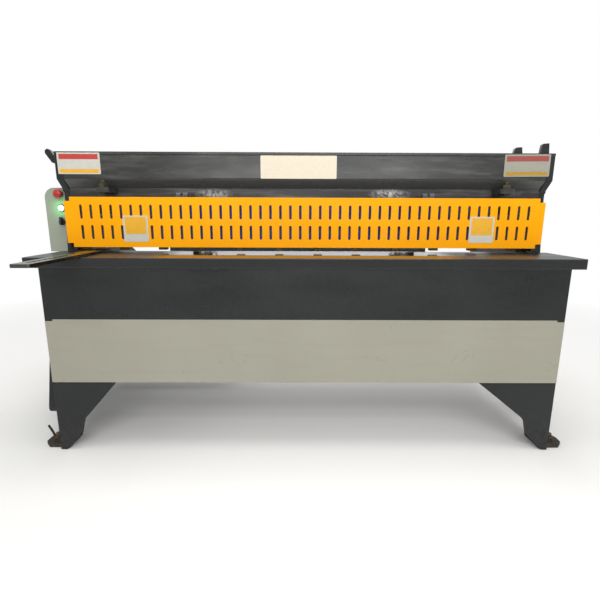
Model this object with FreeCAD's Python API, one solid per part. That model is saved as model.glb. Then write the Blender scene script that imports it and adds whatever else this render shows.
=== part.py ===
"""Mechanical plate shear with a lower crank drive, for sheet up to about two metres wide.

Millimetres. The origin is on the floor, midway between the four floor bolts. +X runs along the blades
to the operator's right, +Y runs from the operator to the back, and +Z is up.
"""
import math
import os

import FreeCAD
import Part

V = FreeCAD.Vector

# How far a cutting shape runs past a face, and how near two points count as one
overrun = 1.0
same_place = 0.01

# Work table and blades
table_height = 800.0
table_length = 2144.0
table_thickness = 40.0
table_depth = 275.0
table_edge_radius = 4.0
blade_line_y = -180.0
blade_end_gap = 5.0
lower_blade_thickness = 25.0
lower_blade_height = 70.0
upper_blade_thickness = 24.0
upper_blade_height = 80.0
blade_clearance = 0.4
blade_opening = 15.0
blade_rise = 35.0
stroke = 60.0

# Side frames and their floor fixings
table_overhang = 57.0
frame_plate = 30.0
frame_base_depth = 948.0
frame_leg_foot = 108.0
arch_margin = 125.0
arch_foot_step = 30.0
arch_foot_height = 60.0
arch_slope = 110.0
frame_rear_drop = 90.0
frame_back_y = 130.0
frame_top_gap = 13.0
throat_depth = 72.0
throat_drop = 60.0
frame_shoulder_rise = 120.0
frame_back_rise = 120.0
frame_back_slope = 60.0
frame_top_corner = 60.0
foot_bolt_step = 40.0
foot_front_inset = 48.0
foot_rear_inset = 60.0
bolt_hole = 22.0
foot_thickness = 16.0
foot_width = 80.0
foot_length = 85.0
foot_corner = 24.0

# Front skin under the table
skin_thickness = 10.0
skin_setback = 2.0
apron_height = 200.0
panel_height = 261.0
panel_proud = 2.0
panel_notch_width = 30.0
panel_notch_depth = 7.0
leg_top_width = 255.0
leg_knee_width = 112.0
leg_ankle_width = 97.0
leg_toe_width = 26.0
leg_knee_height = 137.5
leg_ankle_height = 78.0

# Bed and the members between the side frames
bed_plate = 40.0
bed_height = 290.0
rib_count = 6
rib_thickness = 14.0
rib_height = 220.0
rib_front_height = 88.0
rear_beam_height = 200.0
rear_beam_flange = 70.0
rear_beam_thickness = 10.0
rear_beam_lift = 40.0
rear_beam_inset = 10.0
cross_tube = 100.0
cross_tube_wall = 6.0
cross_tube_gap = 20.0

# Ram
ram_side_gap = 21.0
ram_end_plate = 30.0
ram_front_plate = 20.0
ram_overhang = 41.0
ram_end_return = 48.0
ram_lift = 307.0
ram_face_height = 113.0
ram_flange = 12.0
ram_flange_depth = 250.0
ram_flange_proud = 2.0
ram_return_drop = 35.0
ram_return_plate = 12.0
ram_bend = 14.0
carrier_thickness = 40.0
carrier_step = 10.0
guide_gap = 0.5
guide_width = 30.0
guide_low = 80.0
guide_top_gap = 30.0
ram_rib_count = 7
ram_rib_depth = 150.0
ram_rib_low = 100.0
ram_rib_step = 40.0
ram_end_waist = 200.0
side_gap = 8.0

# Drive
shaft_diameter = 90.0
shaft_drop = 380.0
shaft_set_back = 20.0
shaft_end_inset = 2.0
shaft_gap = 0.5
bearing_reach = 85.0
bearing_front = 64.0
bearing_top = 47.0
bearing_depth = 40.0
rod_thickness = 30.0
rod_width = 50.0
rod_gap = 6.0
rod_eye = 96.0
rod_eye_margin = 2.0
rod_length = 210.0
ram_end_drop = 140.0
crank_case_depth = 230.0
crank_case_height = 340.0
drive_cover_width = 105.0
drive_cover_front_y = -368.0
drive_cover_lean = 110.0
drive_cover_back_y = 380.0
drive_cover_bottom = 103.0
cover_gap = 10.0
crank_cover_round = 30.0
drive_cover_back_round = 120.0
drive_cover_front_round = 130.0
drive_cover_toe_round = 25.0

# Guard
guard_front_y = -270.0
guard_gap = 23.0
guard_height = 207.5
guard_inset = 9.0
guard_sheet = 3.0
guard_flange = 12.0
bracket_depth = 49.0
bracket_thickness = 8.0
bracket_foot = 26.0
guard_notch_width = 24.0
guard_notch_height = 17.0
slot_count = 46
slot_end_margin = 67.75
slot_width = 10.5
slot_height = 58.5
slot_margin = 33.5
slot_row_step = 84.5

# Sheet hold-down
holddown_y = -226.0
holddown_plate = 25.0
holddown_end_gap = 20.0
holddown_gap = 10.0
pad_length = 36.0
pad_width = 30.0
pad_bevel = 3.0
pad_height = 22.0
pad_count = 12
pad_first_inset = 13.0
pad_last_inset = 69.0
holddown_height = 130.0
holddown_round = 6.0
hanger_inset = 130.0
hanger_diameter = 22.0
hanger_nut = 38.0
hanger_nut_height = 17.0
hanger_tip = 12.0
lug_width = 60.0
lug_thickness = 20.0
lug_hole_gap = 3.0
lug_corner = 10.0
lug_wall = 10.0
lug_top_drop = 2.0
seat_gap = 0.3
fork_inset = 462.0
fork_cheek = 20.0
fork_gap = 10.0
fork_depth = 22.0
fork_height = 89.0
fork_corner = 8.0
fork_pin = 12.0
fork_pin_drop = 18.0

# Squaring arm
arm_inset = 104.0
arm_width = 62.0
arm_thickness = 12.0
arm_front_reach = 300.0
arm_slot_width = 12.0
arm_slot_start = 40.0
arm_slot_end = 30.0
arm_blade_gap = 4.0
arm_corner = 6.0

# Back gauge
gauge_reach = 285.6
gauge_left_inset = 273.0
gauge_right_inset = 335.0
gauge_leg = 60.0
gauge_face = 63.0
gauge_riser = 34.0
gauge_leg_plate = 8.0
gauge_arm_inset = 425.0
gauge_arm_height = 50.0
gauge_arm_width = 30.0
gauge_arm_reach = 420.0
gauge_screw = 24.0
gauge_screw_step = 22.0
gauge_end_plate = 12.0
gauge_end_reach = 45.0
gauge_end_drop = 10.0
handwheel_diameter = 96.0
handwheel_rim = 11.0
handwheel_offset = 40.0
spoke_width = 10.0
spoke_plate = 7.0
gauge_arm_lift = 62.0

# Motor
motor_side_inset = 425.0
motor_rear_inset = 230.0
motor_foot = 20.0
motor_radius = 105.0
motor_length = 330.0
motor_cowl = 70.0
motor_cowl_diameter = 193.0
motor_foot_length = 180.0
motor_foot_width = 190.0
motor_foot_plate = 14.0
motor_neck_width = 126.0
motor_shaft_gap = 4.0
terminal_length = 100.0
terminal_width = 90.0
terminal_height = 45.0
motor_shaft = 38.0
shelf_step = 12.0
shelf_thickness = 10.0
shelf_depth = 240.0
shelf_reach = 20.0
shelf_gusset = 10.0
shelf_gusset_inset = 40.0
shelf_gusset_toe = 20.0
shelf_gusset_height = 112.5

# Control box
box_gap = 8.0
box_width = 98.0
box_depth = 120.0
box_drop = 10.0
box_height = 285.0
box_front_y = -120.0
box_left_corner = 45.0
box_right_corner = 18.0
control_inset = 27.0
stop_drop = 27.0
stop_diameter = 40.0
stop_travel = 5.0
start_drop = 89.0
start_diameter = 24.0
start_travel = 3.0
start_proud = 1.0
selector_drop = 151.0
selector_diameter = 29.0
stop_stem = 22.0
stop_stem_show = 3.0
stop_cap = 17.5
stop_face = 27.0
control_gap = 0.5
collar_height = 6.0
collar_wall = 5.0
selector_base_proud = 4.0
selector_grip_depth = 14.0
selector_grip_width = 10.0
selector_grip_rise = 8.0
selector_grip_inset = 1.0
post_width = 54.0
post_depth = 60.0

# Lifting ears on top of the ram
ear_thickness = 20.0
ear_set_back = 4.0
ear_lean = 4.0
ear_corner = 6.0
left_ear_reach = 40.0
left_ear_height = 36.0
left_ear_root = 28.0
left_ear_neck = 14.0
left_ear_shoulder = 8.0
left_ear_tip = 10.0
left_ear_tip_rise = 12.0
right_ear_inset = 45.0
right_ear_width = 38.0
right_ear_height = 42.0
small_ear_inset = 159.0
small_ear_width = 38.0
small_ear_height = 26.0

# Values that follow from the ones above
ram_bottom = table_height + ram_lift
ram_top = ram_bottom + ram_face_height
half_table = table_length / 2.0
half_frame = half_table - table_overhang
inner_frame = half_frame - frame_plate
table_front_y = blade_line_y - lower_blade_thickness - table_depth
table_under = table_height - table_thickness
skin_front_y = table_front_y + skin_setback
frame_front_y = skin_front_y + skin_thickness
frame_rear_y = frame_front_y + frame_base_depth
frame_upper_y = blade_line_y + throat_depth
throat_floor = table_height - throat_drop
frame_top = ram_top - ram_flange - stroke - frame_top_gap
apron_bottom = table_under - apron_height
panel_bottom = apron_bottom - panel_height
bed_bottom = table_under - bed_height
ram_inner = half_frame + ram_side_gap
half_ram = ram_inner + ram_end_plate
guard_half_length = half_frame - guard_inset
holddown_half_length = inner_frame - holddown_end_gap
hanger_x = inner_frame - hanger_inset
fork_x = inner_frame - fork_inset
arm_x = arm_inset - inner_frame
carrier_front_y = blade_line_y + blade_clearance + upper_blade_thickness
carrier_back_y = carrier_front_y + carrier_thickness
ram_front_y = carrier_front_y - ram_overhang
guide_face_y = carrier_back_y + guide_gap
shaft_y = carrier_front_y + carrier_thickness / 2.0 + shaft_set_back
shaft_z = table_height - shaft_drop
foot_bolt_x = half_frame + foot_bolt_step
foot_front_y = frame_front_y + foot_front_inset
foot_rear_y = frame_rear_y - foot_rear_inset
motor_y = frame_rear_y - motor_rear_inset
motor_x = motor_side_inset - inner_frame
slot_pitch = 2.0 * (guard_half_length - slot_end_margin) / (slot_count - 1)
pad_first_x = pad_first_inset - holddown_half_length
pad_pitch = (2.0 * holddown_half_length - pad_first_inset - pad_last_inset) / (pad_count - 1)
gauge_left_x = gauge_left_inset - inner_frame
gauge_right_x = inner_frame - gauge_right_inset
gauge_arm_x = inner_frame - gauge_arm_inset
right_ear_x = half_ram - right_ear_inset
small_ear_x = half_ram - small_ear_inset
frame_arch_height = shaft_z - shaft_diameter / 2.0 - arch_margin
ram_end_bottom = table_height - ram_end_drop
cover_top = ram_end_bottom - stroke - cover_gap
guard_bottom = table_height + guard_gap
guard_top = guard_bottom + guard_height
slot_low_z = guard_bottom + slot_margin
slot_high_z = slot_low_z + slot_row_step
gauge_arm_low = table_height + gauge_arm_lift
box_bottom = table_height - box_drop
box_top = box_bottom + box_height
stop_z = box_top - stop_drop
start_z = box_top - start_drop
selector_z = box_top - selector_drop
shelf_z = frame_arch_height + shelf_step
motor_z = shelf_z + shelf_thickness + motor_foot + motor_radius
box_right_x = -half_ram - box_gap
box_left_x = box_right_x - box_width
control_x = box_right_x - control_inset
eye_z = ram_end_bottom + rod_eye / 2.0 + rod_eye_margin
rod_low = eye_z - rod_length
gauge_y = carrier_back_y + gauge_reach
holddown_low = table_height + holddown_gap


def box(x0, x1, y0, y1, z0, z1):
    """A block between two corners."""
    return Part.makeBox(x1 - x0, y1 - y0, z1 - z0, V(x0, y0, z0))


def side_plate(outline, x0, x1):
    """A plate whose outline is drawn in Y and Z, from x0 to x1."""
    points = [V(x0, y, z) for y, z in outline]
    points.append(points[0])
    return Part.Face(Part.makePolygon(points)).extrude(V(x1 - x0, 0, 0))


def front_plate(outline, y0, y1):
    """A plate whose outline is drawn in X and Z, from y0 to y1."""
    points = [V(x, y0, z) for x, z in outline]
    points.append(points[0])
    return Part.Face(Part.makePolygon(points)).extrude(V(0, y1 - y0, 0))


def post(x, y, z0, z1, diameter):
    """An upright cylinder."""
    return Part.makeCylinder(diameter / 2.0, z1 - z0, V(x, y, z0), V(0, 0, 1))


def bar_x(x0, x1, y, z, diameter):
    """A cylinder along X."""
    return Part.makeCylinder(diameter / 2.0, x1 - x0, V(x0, y, z), V(1, 0, 0))


def bar_y(x, y0, y1, z, diameter):
    """A cylinder along Y."""
    return Part.makeCylinder(diameter / 2.0, y1 - y0, V(x, y0, z), V(0, 1, 0))


def mirrored(shape):
    """The same piece on the other side of the machine."""
    return shape.mirror(V(0, 0, 0), V(1, 0, 0))


def pair(shape):
    """A right-hand piece with its left-hand twin."""
    return Part.makeCompound([shape, mirrored(shape)])


def rounded(shape, radius, keep):
    """Round the edges that the test picks."""
    edges = [edge for edge in shape.Edges if keep(edge)]
    return shape.makeFillet(radius, edges)


def bevelled(shape, width, keep):
    """Bevel the edges that the test picks."""
    edges = [edge for edge in shape.Edges if keep(edge)]
    return shape.makeChamfer(width, edges)


def upright(edge):
    """True for an edge along Z."""
    first, last = edge.Vertexes[0].Point, edge.Vertexes[-1].Point
    return abs(first.x - last.x) < same_place and abs(first.y - last.y) < same_place


def along_x(edge):
    """True for an edge along X."""
    first, last = edge.Vertexes[0].Point, edge.Vertexes[-1].Point
    level = abs(first.z - last.z) < same_place and abs(first.y - last.y) < same_place
    return level and abs(first.x - last.x) > same_place


def save(name, shape):
    """Write one piece."""
    solids = shape.Solids
    if len(solids) == 1:
        shape = solids[0]
    shape.exportStep("parts/" + name + ".step")


def side_frame():
    """Right-hand side plate: two legs with an arch between, the bed shoulder and the upright."""
    arch_front = frame_front_y + frame_leg_foot
    arch_back = frame_rear_y - frame_leg_foot
    outline = [
        (frame_front_y, 0.0),
        (arch_front, 0.0),
        (arch_front + arch_foot_step, arch_foot_height),
        (arch_front + arch_slope, frame_arch_height),
        (arch_back - arch_slope, frame_arch_height),
        (arch_back - arch_foot_step, arch_foot_height),
        (arch_back, 0.0),
        (frame_rear_y, 0.0),
        (frame_rear_y, table_height - frame_rear_drop),
        (frame_back_y + frame_back_slope, throat_floor + frame_shoulder_rise),
        (frame_back_y, throat_floor + frame_shoulder_rise + frame_back_rise),
        (frame_back_y, frame_top - frame_top_corner),
        (frame_back_y - frame_top_corner, frame_top),
        (frame_upper_y, frame_top),
        (frame_upper_y, throat_floor),
        (blade_line_y, throat_floor),
        (blade_line_y, table_under),
        (frame_front_y, table_under),
    ]
    return side_plate(outline, inner_frame, half_frame)


def feet():
    """Four foot lugs outside the side plates, each with one floor-bolt hole."""
    lugs = []
    for side in (-1, 1):
        for centre_y in (foot_front_y, foot_rear_y):
            x0 = half_frame
            lug = box(x0, x0 + foot_width, centre_y - foot_length / 2.0, centre_y + foot_length / 2.0,
                      0.0, foot_thickness)
            lug = bevelled(lug, foot_corner,
                           lambda edge: upright(edge) and edge.CenterOfMass.x > x0 + overrun)
            hole = post(foot_bolt_x, centre_y, -overrun, foot_thickness + overrun, bolt_hole)
            lug = lug.cut(hole)
            lugs.append(lug if side > 0 else mirrored(lug))
    return Part.makeCompound(lugs)


def front_leg():
    """Right-hand front leg plate: broad under the panel, waisted, then running down to a toe."""
    outline = [
        (half_frame, panel_bottom),
        (half_frame, 0.0),
        (half_frame - leg_toe_width, 0.0),
        (half_frame - leg_ankle_width, leg_ankle_height),
        (half_frame - leg_knee_width, leg_knee_height),
        (half_frame - leg_top_width, panel_bottom),
    ]
    return front_plate(outline, skin_front_y, frame_front_y)


def front_panel():
    """Pale cover panel across the front, with its top corners let down."""
    outline = [
        (-half_frame, panel_bottom),
        (half_frame, panel_bottom),
        (half_frame, apron_bottom - panel_notch_depth),
        (half_frame - panel_notch_width, apron_bottom - panel_notch_depth),
        (half_frame - panel_notch_width, apron_bottom),
        (-half_frame + panel_notch_width, apron_bottom),
        (-half_frame + panel_notch_width, apron_bottom - panel_notch_depth),
        (-half_frame, apron_bottom - panel_notch_depth),
    ]
    return front_plate(outline, skin_front_y - panel_proud, frame_front_y)


def apron():
    """Dark front plate between the table and the pale panel, reaching down into its corner notches."""
    outline = [
        (-half_frame, apron_bottom - panel_notch_depth),
        (-half_frame + panel_notch_width, apron_bottom - panel_notch_depth),
        (-half_frame + panel_notch_width, apron_bottom),
        (half_frame - panel_notch_width, apron_bottom),
        (half_frame - panel_notch_width, apron_bottom - panel_notch_depth),
        (half_frame, apron_bottom - panel_notch_depth),
        (half_frame, table_under),
        (-half_frame, table_under),
    ]
    return front_plate(outline, skin_front_y, frame_front_y)


def work_table():
    """Thick table plate with softened corners."""
    plate = box(-half_table, half_table, table_front_y, table_front_y + table_depth,
                table_under, table_height)
    return rounded(plate, table_edge_radius, lambda edge: edge.CenterOfMass.y < table_front_y + overrun
                   and (along_x(edge) or upright(edge)))


def table_ribs():
    """Bracket ribs that carry the table between the front skin and the bed beam."""
    front = frame_front_y
    back = blade_line_y - bed_plate
    outline = [
        (front, table_under),
        (front, table_under - rib_front_height),
        (back - bed_plate, table_under - rib_height),
        (back, table_under - rib_height),
        (back, table_under),
    ]
    pitch = 2.0 * inner_frame / (rib_count + 1)
    ribs = []
    for number in range(rib_count):
        x = -inner_frame + pitch * (number + 1)
        ribs.append(side_plate(outline, x - rib_thickness / 2.0, x + rib_thickness / 2.0))
    return Part.makeCompound(ribs)


def bed_beam():
    """Heavy bed plate under the blade line, stepped to seat the lower blade."""
    outline = [
        (blade_line_y - bed_plate, table_under),
        (blade_line_y - bed_plate, bed_bottom),
        (blade_line_y, bed_bottom),
        (blade_line_y, table_height - lower_blade_height),
        (blade_line_y - lower_blade_thickness, table_height - lower_blade_height),
        (blade_line_y - lower_blade_thickness, table_under),
    ]
    return side_plate(outline, -inner_frame, inner_frame)


def lower_blade():
    """Fixed blade, flush with the table top."""
    half = inner_frame
    return box(-half, half, blade_line_y - lower_blade_thickness, blade_line_y,
               table_height - lower_blade_height, table_height)


def rear_beam():
    """Channel across the back legs, its flanges to the rear."""
    top = frame_arch_height + rear_beam_height + rear_beam_lift
    bottom = top - rear_beam_height
    web_y = frame_rear_y - rear_beam_flange - rear_beam_inset
    outline = [
        (web_y, bottom),
        (web_y + rear_beam_flange, bottom),
        (web_y + rear_beam_flange, bottom + rear_beam_thickness),
        (web_y + rear_beam_thickness, bottom + rear_beam_thickness),
        (web_y + rear_beam_thickness, top - rear_beam_thickness),
        (web_y + rear_beam_flange, top - rear_beam_thickness),
        (web_y + rear_beam_flange, top),
        (web_y, top),
    ]
    return side_plate(outline, -inner_frame, inner_frame)


def cross_tubes():
    """Square tube that ties the front legs behind the pale panel."""
    y0 = frame_front_y + cross_tube_gap
    z0 = panel_bottom + cross_tube_gap
    wall = cross_tube_wall
    tube = box(-inner_frame, inner_frame, y0, y0 + cross_tube, z0, z0 + cross_tube)
    bore = box(-inner_frame - overrun, inner_frame + overrun, y0 + wall, y0 + cross_tube - wall,
               z0 + wall, z0 + cross_tube - wall)
    return tube.cut(bore)


def ram_guides():
    """Bronze-faced slides on the front edges of the uprights."""
    right = box(inner_frame, inner_frame + guide_width, guide_face_y, frame_upper_y, throat_floor + guide_low,
                frame_top - guide_top_gap)
    return pair(right)


def carrier():
    """Thick plate behind the upper blade; its lower edge follows the slope of the blade."""
    low = table_height + blade_opening + carrier_step
    outline = [
        (-ram_inner, low),
        (ram_inner, low + blade_rise),
        (ram_inner, ram_top - ram_flange),
        (-ram_inner, ram_top - ram_flange),
    ]
    return front_plate(outline, carrier_front_y, carrier_back_y)


def upper_blade():
    """Moving blade, higher at the right end than at the left."""
    half = inner_frame - blade_end_gap
    low = table_height + blade_opening
    outline = [
        (-half, low),
        (half, low + blade_rise),
        (half, low + blade_rise + upper_blade_height),
        (-half, low + upper_blade_height),
    ]
    return front_plate(outline, blade_line_y + blade_clearance, carrier_front_y)


def ram_front():
    """Front plate of the ram, bent back under itself to meet the blade carrier."""
    meet_z = ram_bottom - ram_return_drop
    outline = [
        (ram_front_y, ram_top - ram_flange),
        (ram_front_y, ram_bottom),
        (carrier_front_y, meet_z),
        (carrier_front_y, meet_z + ram_return_plate),
        (ram_front_y + ram_front_plate, ram_bottom + ram_return_plate),
        (ram_front_y + ram_front_plate, ram_top - ram_flange),
    ]
    plate = side_plate(outline, -ram_inner, ram_inner)
    return rounded(plate, ram_bend, lambda edge: along_x(edge) and edge.CenterOfMass.y < ram_front_y + overrun
                   and edge.CenterOfMass.z < ram_bottom + overrun)


def ram_top_plate():
    """Flat top flange of the ram."""
    return box(-half_ram, half_ram, ram_front_y - ram_flange_proud, ram_front_y + ram_flange_depth,
               ram_top - ram_flange, ram_top)


def ram_ribs():
    """Web plates on the back of the ram."""
    back = carrier_back_y + ram_rib_depth
    top = ram_top - ram_flange
    outline = [
        (carrier_back_y, top),
        (carrier_back_y, table_height + ram_rib_low),
        (carrier_back_y + ram_rib_step, table_height + ram_rib_low),
        (back, ram_bottom - ram_return_drop),
        (back, top),
    ]
    reach = inner_frame - side_gap - rib_thickness
    pitch = 2.0 * reach / (ram_rib_count - 1)
    ribs = []
    for number in range(ram_rib_count):
        x = -reach + pitch * number
        ribs.append(side_plate(outline, x - rib_thickness / 2.0, x + rib_thickness / 2.0))
    return Part.makeCompound(ribs)


def ram_end():
    """Right-hand end plate of the ram, running down outside the side frame to the pull rod."""
    meet_y = ram_front_y + ram_end_return
    rear_y = ram_front_y + ram_flange_depth
    outline = [
        (ram_front_y, ram_top - ram_flange),
        (ram_front_y, ram_bottom),
        (meet_y, ram_bottom - ram_end_return),
        (meet_y, ram_bottom - ram_end_return - ram_end_plate),
        (blade_line_y + side_gap, table_height),
        (blade_line_y + side_gap, ram_end_bottom + ram_end_plate),
        (shaft_y - rod_eye / 2.0, ram_end_bottom),
        (shaft_y + rod_eye / 2.0, ram_end_bottom),
        (shaft_y + rod_eye / 2.0, ram_end_bottom + rod_eye),
        (rear_y - ram_end_return, table_height + ram_end_waist),
        (rear_y, ram_bottom),
        (rear_y, ram_top - ram_flange),
    ]
    return side_plate(outline, ram_inner, half_ram)


def pull_rod():
    """Right-hand pull rod: a flat bar with a round eye lapped on the outside of the ram end."""
    x0 = half_ram
    x1 = half_ram + rod_thickness
    eye = bar_x(x0, x1, shaft_y, eye_z, rod_eye)
    bar = box(x0, x1, shaft_y - rod_width / 2.0, shaft_y + rod_width / 2.0, rod_low, eye_z)
    return eye.fuse(bar).removeSplitter()


def rod_mouth(x_side):
    """Space that the pull rod needs in the cover below it, open at the top."""
    x0 = half_ram - rod_gap
    x1 = half_ram + rod_thickness + rod_gap
    half_y = rod_width / 2.0 + rod_gap
    low = rod_low - stroke - 2.0 * rod_gap
    mouth = box(x0, x1, shaft_y - half_y, shaft_y + half_y, low, cover_top + overrun)
    return mouth if x_side > 0 else mirrored(mouth)


def crank_cover():
    """Right-hand cover over the crank end, rounded at the top, open where the pull rod enters."""
    half = crank_case_depth / 2.0
    cover = box(half_frame, half_frame + drive_cover_width, shaft_y - half, shaft_y + half,
                cover_top - crank_case_height, cover_top)
    cover = rounded(cover, crank_cover_round,
                    lambda edge: along_x(edge) and edge.CenterOfMass.z > cover_top - overrun)
    return cover.cut(rod_mouth(1))


def drive_cover():
    """Left-hand cover over the flywheel and belts, its front leaning back and all its corners rounded."""
    front_top_y = drive_cover_front_y + drive_cover_lean
    outline = [
        (drive_cover_front_y, drive_cover_bottom),
        (drive_cover_back_y, drive_cover_bottom),
        (drive_cover_back_y, cover_top),
        (front_top_y, cover_top),
    ]
    cover = side_plate(outline, -half_frame - drive_cover_width, -half_frame)
    cover = rounded(cover, drive_cover_back_round,
                    lambda edge: along_x(edge) and edge.CenterOfMass.y > drive_cover_back_y - overrun)
    cover = rounded(cover, drive_cover_front_round,
                    lambda edge: along_x(edge) and edge.CenterOfMass.y < front_top_y + overrun
                    and edge.CenterOfMass.z > cover_top - overrun)
    cover = rounded(cover, drive_cover_toe_round,
                    lambda edge: along_x(edge) and edge.CenterOfMass.y < drive_cover_front_y + overrun)
    return cover.cut(rod_mouth(-1))


def crank_shaft():
    """Crankshaft across under the bed, from bearing to bearing."""
    reach = half_frame - shaft_end_inset
    return bar_x(-reach, reach, shaft_y, shaft_z, shaft_diameter)


def crank_bearings():
    """Flanged bearing blocks on the inner faces of the side plates."""
    block = box(inner_frame - bearing_depth, inner_frame, shaft_y - bearing_front,
                shaft_y + bearing_reach, shaft_z - bearing_reach, shaft_z + bearing_top)
    bore = bar_x(inner_frame - bearing_depth - overrun, inner_frame + overrun, shaft_y, shaft_z,
                 shaft_diameter + 2.0 * shaft_gap)
    return pair(block.cut(bore))


def shaft_holes():
    """Clearance holes through the side plates for the crankshaft."""
    return bar_x(inner_frame - overrun, half_frame + overrun, shaft_y, shaft_z,
                 shaft_diameter + 2.0 * shaft_gap)


def motor():
    """Foot-mounted motor with a fan cowl and a terminal box."""
    half = motor_length / 2.0
    barrel = bar_x(motor_x - half, motor_x + half - motor_cowl, motor_y, motor_z, 2.0 * motor_radius)
    cowl = bar_x(motor_x + half - motor_cowl, motor_x + half, motor_y, motor_z,
                 motor_cowl_diameter)
    shaft_end = bar_x(-half_frame + shaft_end_inset, motor_x - half + overrun, motor_y, motor_z, motor_shaft)
    foot_low = motor_z - motor_radius - motor_foot
    half_foot = motor_foot_length / 2.0
    feet_block = box(motor_x - half_foot, motor_x + half_foot, motor_y - motor_foot_width / 2.0,
                     motor_y + motor_foot_width / 2.0, foot_low, foot_low + motor_foot_plate)
    neck = box(motor_x - half_foot, motor_x + half_foot, motor_y - motor_neck_width / 2.0,
               motor_y + motor_neck_width / 2.0, foot_low, motor_z - motor_neck_width / 2.0)
    terminal = box(motor_x - terminal_length / 2.0, motor_x + terminal_length / 2.0,
                   motor_y - terminal_width / 2.0, motor_y + terminal_width / 2.0,
                   motor_z + motor_radius / 2.0, motor_z + motor_radius + terminal_height)
    return barrel.fuse([cowl, shaft_end, feet_block, neck, terminal]).removeSplitter()


def motor_shelf():
    """Shelf plate for the motor with two gussets, welded to the left side plate."""
    x1 = motor_x + motor_length / 2.0 + shelf_reach
    y0 = motor_y - shelf_depth / 2.0
    y1 = motor_y + shelf_depth / 2.0
    shelf = box(-inner_frame, x1, y0, y1, shelf_z, shelf_z + shelf_thickness)
    toe_x = x1 - shelf_gusset_inset
    outline = [
        (-inner_frame, shelf_z),
        (toe_x, shelf_z),
        (toe_x, shelf_z - shelf_gusset_toe),
        (-inner_frame, shelf_z + shelf_thickness - shelf_gusset_height),
    ]
    gussets = [front_plate(outline, y, y + shelf_gusset) for y in (y0, y1 - shelf_gusset)]
    return shelf.fuse(gussets).removeSplitter()


def guard():
    """Perforated guard: a shallow tray with relieved corners and two rows of long slots."""
    half = guard_half_length
    y0 = guard_front_y
    outline = [
        (-half + guard_notch_width, guard_bottom),
        (half - guard_notch_width, guard_bottom),
        (half - guard_notch_width, guard_bottom + guard_notch_height),
        (half, guard_bottom + guard_notch_height),
        (half, guard_top - guard_notch_height),
        (half - guard_notch_width, guard_top - guard_notch_height),
        (half - guard_notch_width, guard_top),
        (-half + guard_notch_width, guard_top),
        (-half + guard_notch_width, guard_top - guard_notch_height),
        (-half, guard_top - guard_notch_height),
        (-half, guard_bottom + guard_notch_height),
        (-half + guard_notch_width, guard_bottom + guard_notch_height),
    ]
    sheet = front_plate(outline, y0, y0 + guard_sheet)
    slots = []
    first = -slot_pitch * (slot_count - 1) / 2.0
    radius = slot_width / 2.0
    for number in range(slot_count):
        x = first + slot_pitch * number
        for z in (slot_low_z, slot_high_z):
            slots.append(box(x - radius, x + radius, y0 - overrun, y0 + guard_sheet + overrun,
                             z, z + slot_height))
    sheet = sheet.cut(Part.makeCompound(slots))
    flanges = []
    for z in (guard_bottom, guard_top - guard_sheet):
        flanges.append(box(-half + guard_notch_width, half - guard_notch_width, y0, y0 + guard_flange,
                           z, z + guard_sheet))
    for x in (-half, half - guard_sheet):
        flanges.append(box(x, x + guard_sheet, y0, y0 + guard_flange,
                           guard_bottom + guard_notch_height, guard_top - guard_notch_height))
    return sheet.fuse(flanges).removeSplitter()


def guard_brackets():
    """Angle brackets that stand on the table and carry the ends of the guard."""
    x1 = guard_half_length - guard_sheet
    y0 = guard_front_y + guard_sheet
    y1 = y0 + bracket_depth
    upright_plate = box(x1 - bracket_thickness, x1, y0, y1, table_height, guard_top - guard_notch_height)
    foot = box(x1 - bracket_foot, x1, y0, y1, table_height, table_height + bracket_thickness)
    return pair(upright_plate.fuse(foot).removeSplitter())


def lifting_fork(x):
    """Two cheeks with a cross pin, standing on the hold-down bar."""
    low = holddown_low + pad_height + holddown_height
    high = low + fork_height
    y0 = holddown_y - fork_depth / 2.0
    cheeks = []
    for x0 in (x - fork_gap / 2.0 - fork_cheek, x + fork_gap / 2.0):
        cheek = box(x0, x0 + fork_cheek, y0, y0 + fork_depth, low - overrun, high)
        cheeks.append(bevelled(cheek, fork_corner,
                               lambda edge: along_x(edge) and edge.CenterOfMass.z > high - overrun))
    reach = fork_gap / 2.0 + fork_cheek / 2.0
    pin = bar_x(x - reach, x + reach, holddown_y, high - fork_pin_drop, fork_pin)
    return cheeks + [pin]


def holddown_beam():
    """Hold-down bar behind the guard, with two lifting forks on it."""
    y0 = holddown_y - holddown_plate / 2.0
    low = holddown_low + pad_height
    beam = box(-holddown_half_length, holddown_half_length, y0, y0 + holddown_plate,
               low, low + holddown_height)
    beam = rounded(beam, holddown_round, lambda edge: along_x(edge) and edge.CenterOfMass.z > low + overrun)
    return beam.fuse(lifting_fork(-fork_x) + lifting_fork(fork_x)).removeSplitter()


def holddown_pads():
    """Bevelled pad blocks under the hold-down bar, one for each stretch of the sheet."""
    pads = []
    for number in range(pad_count):
        x = pad_first_x + pad_pitch * number
        pad = box(x - pad_length / 2.0, x + pad_length / 2.0, holddown_y - pad_width / 2.0,
                  holddown_y + pad_width / 2.0, holddown_low, holddown_low + pad_height)
        pads.append(bevelled(pad, pad_bevel, upright))
    return Part.makeCompound(pads)


def lug_top():
    """Height of the lugs on the ram, just under its bent-back return."""
    return ram_bottom - ram_return_drop - lug_top_drop


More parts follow.
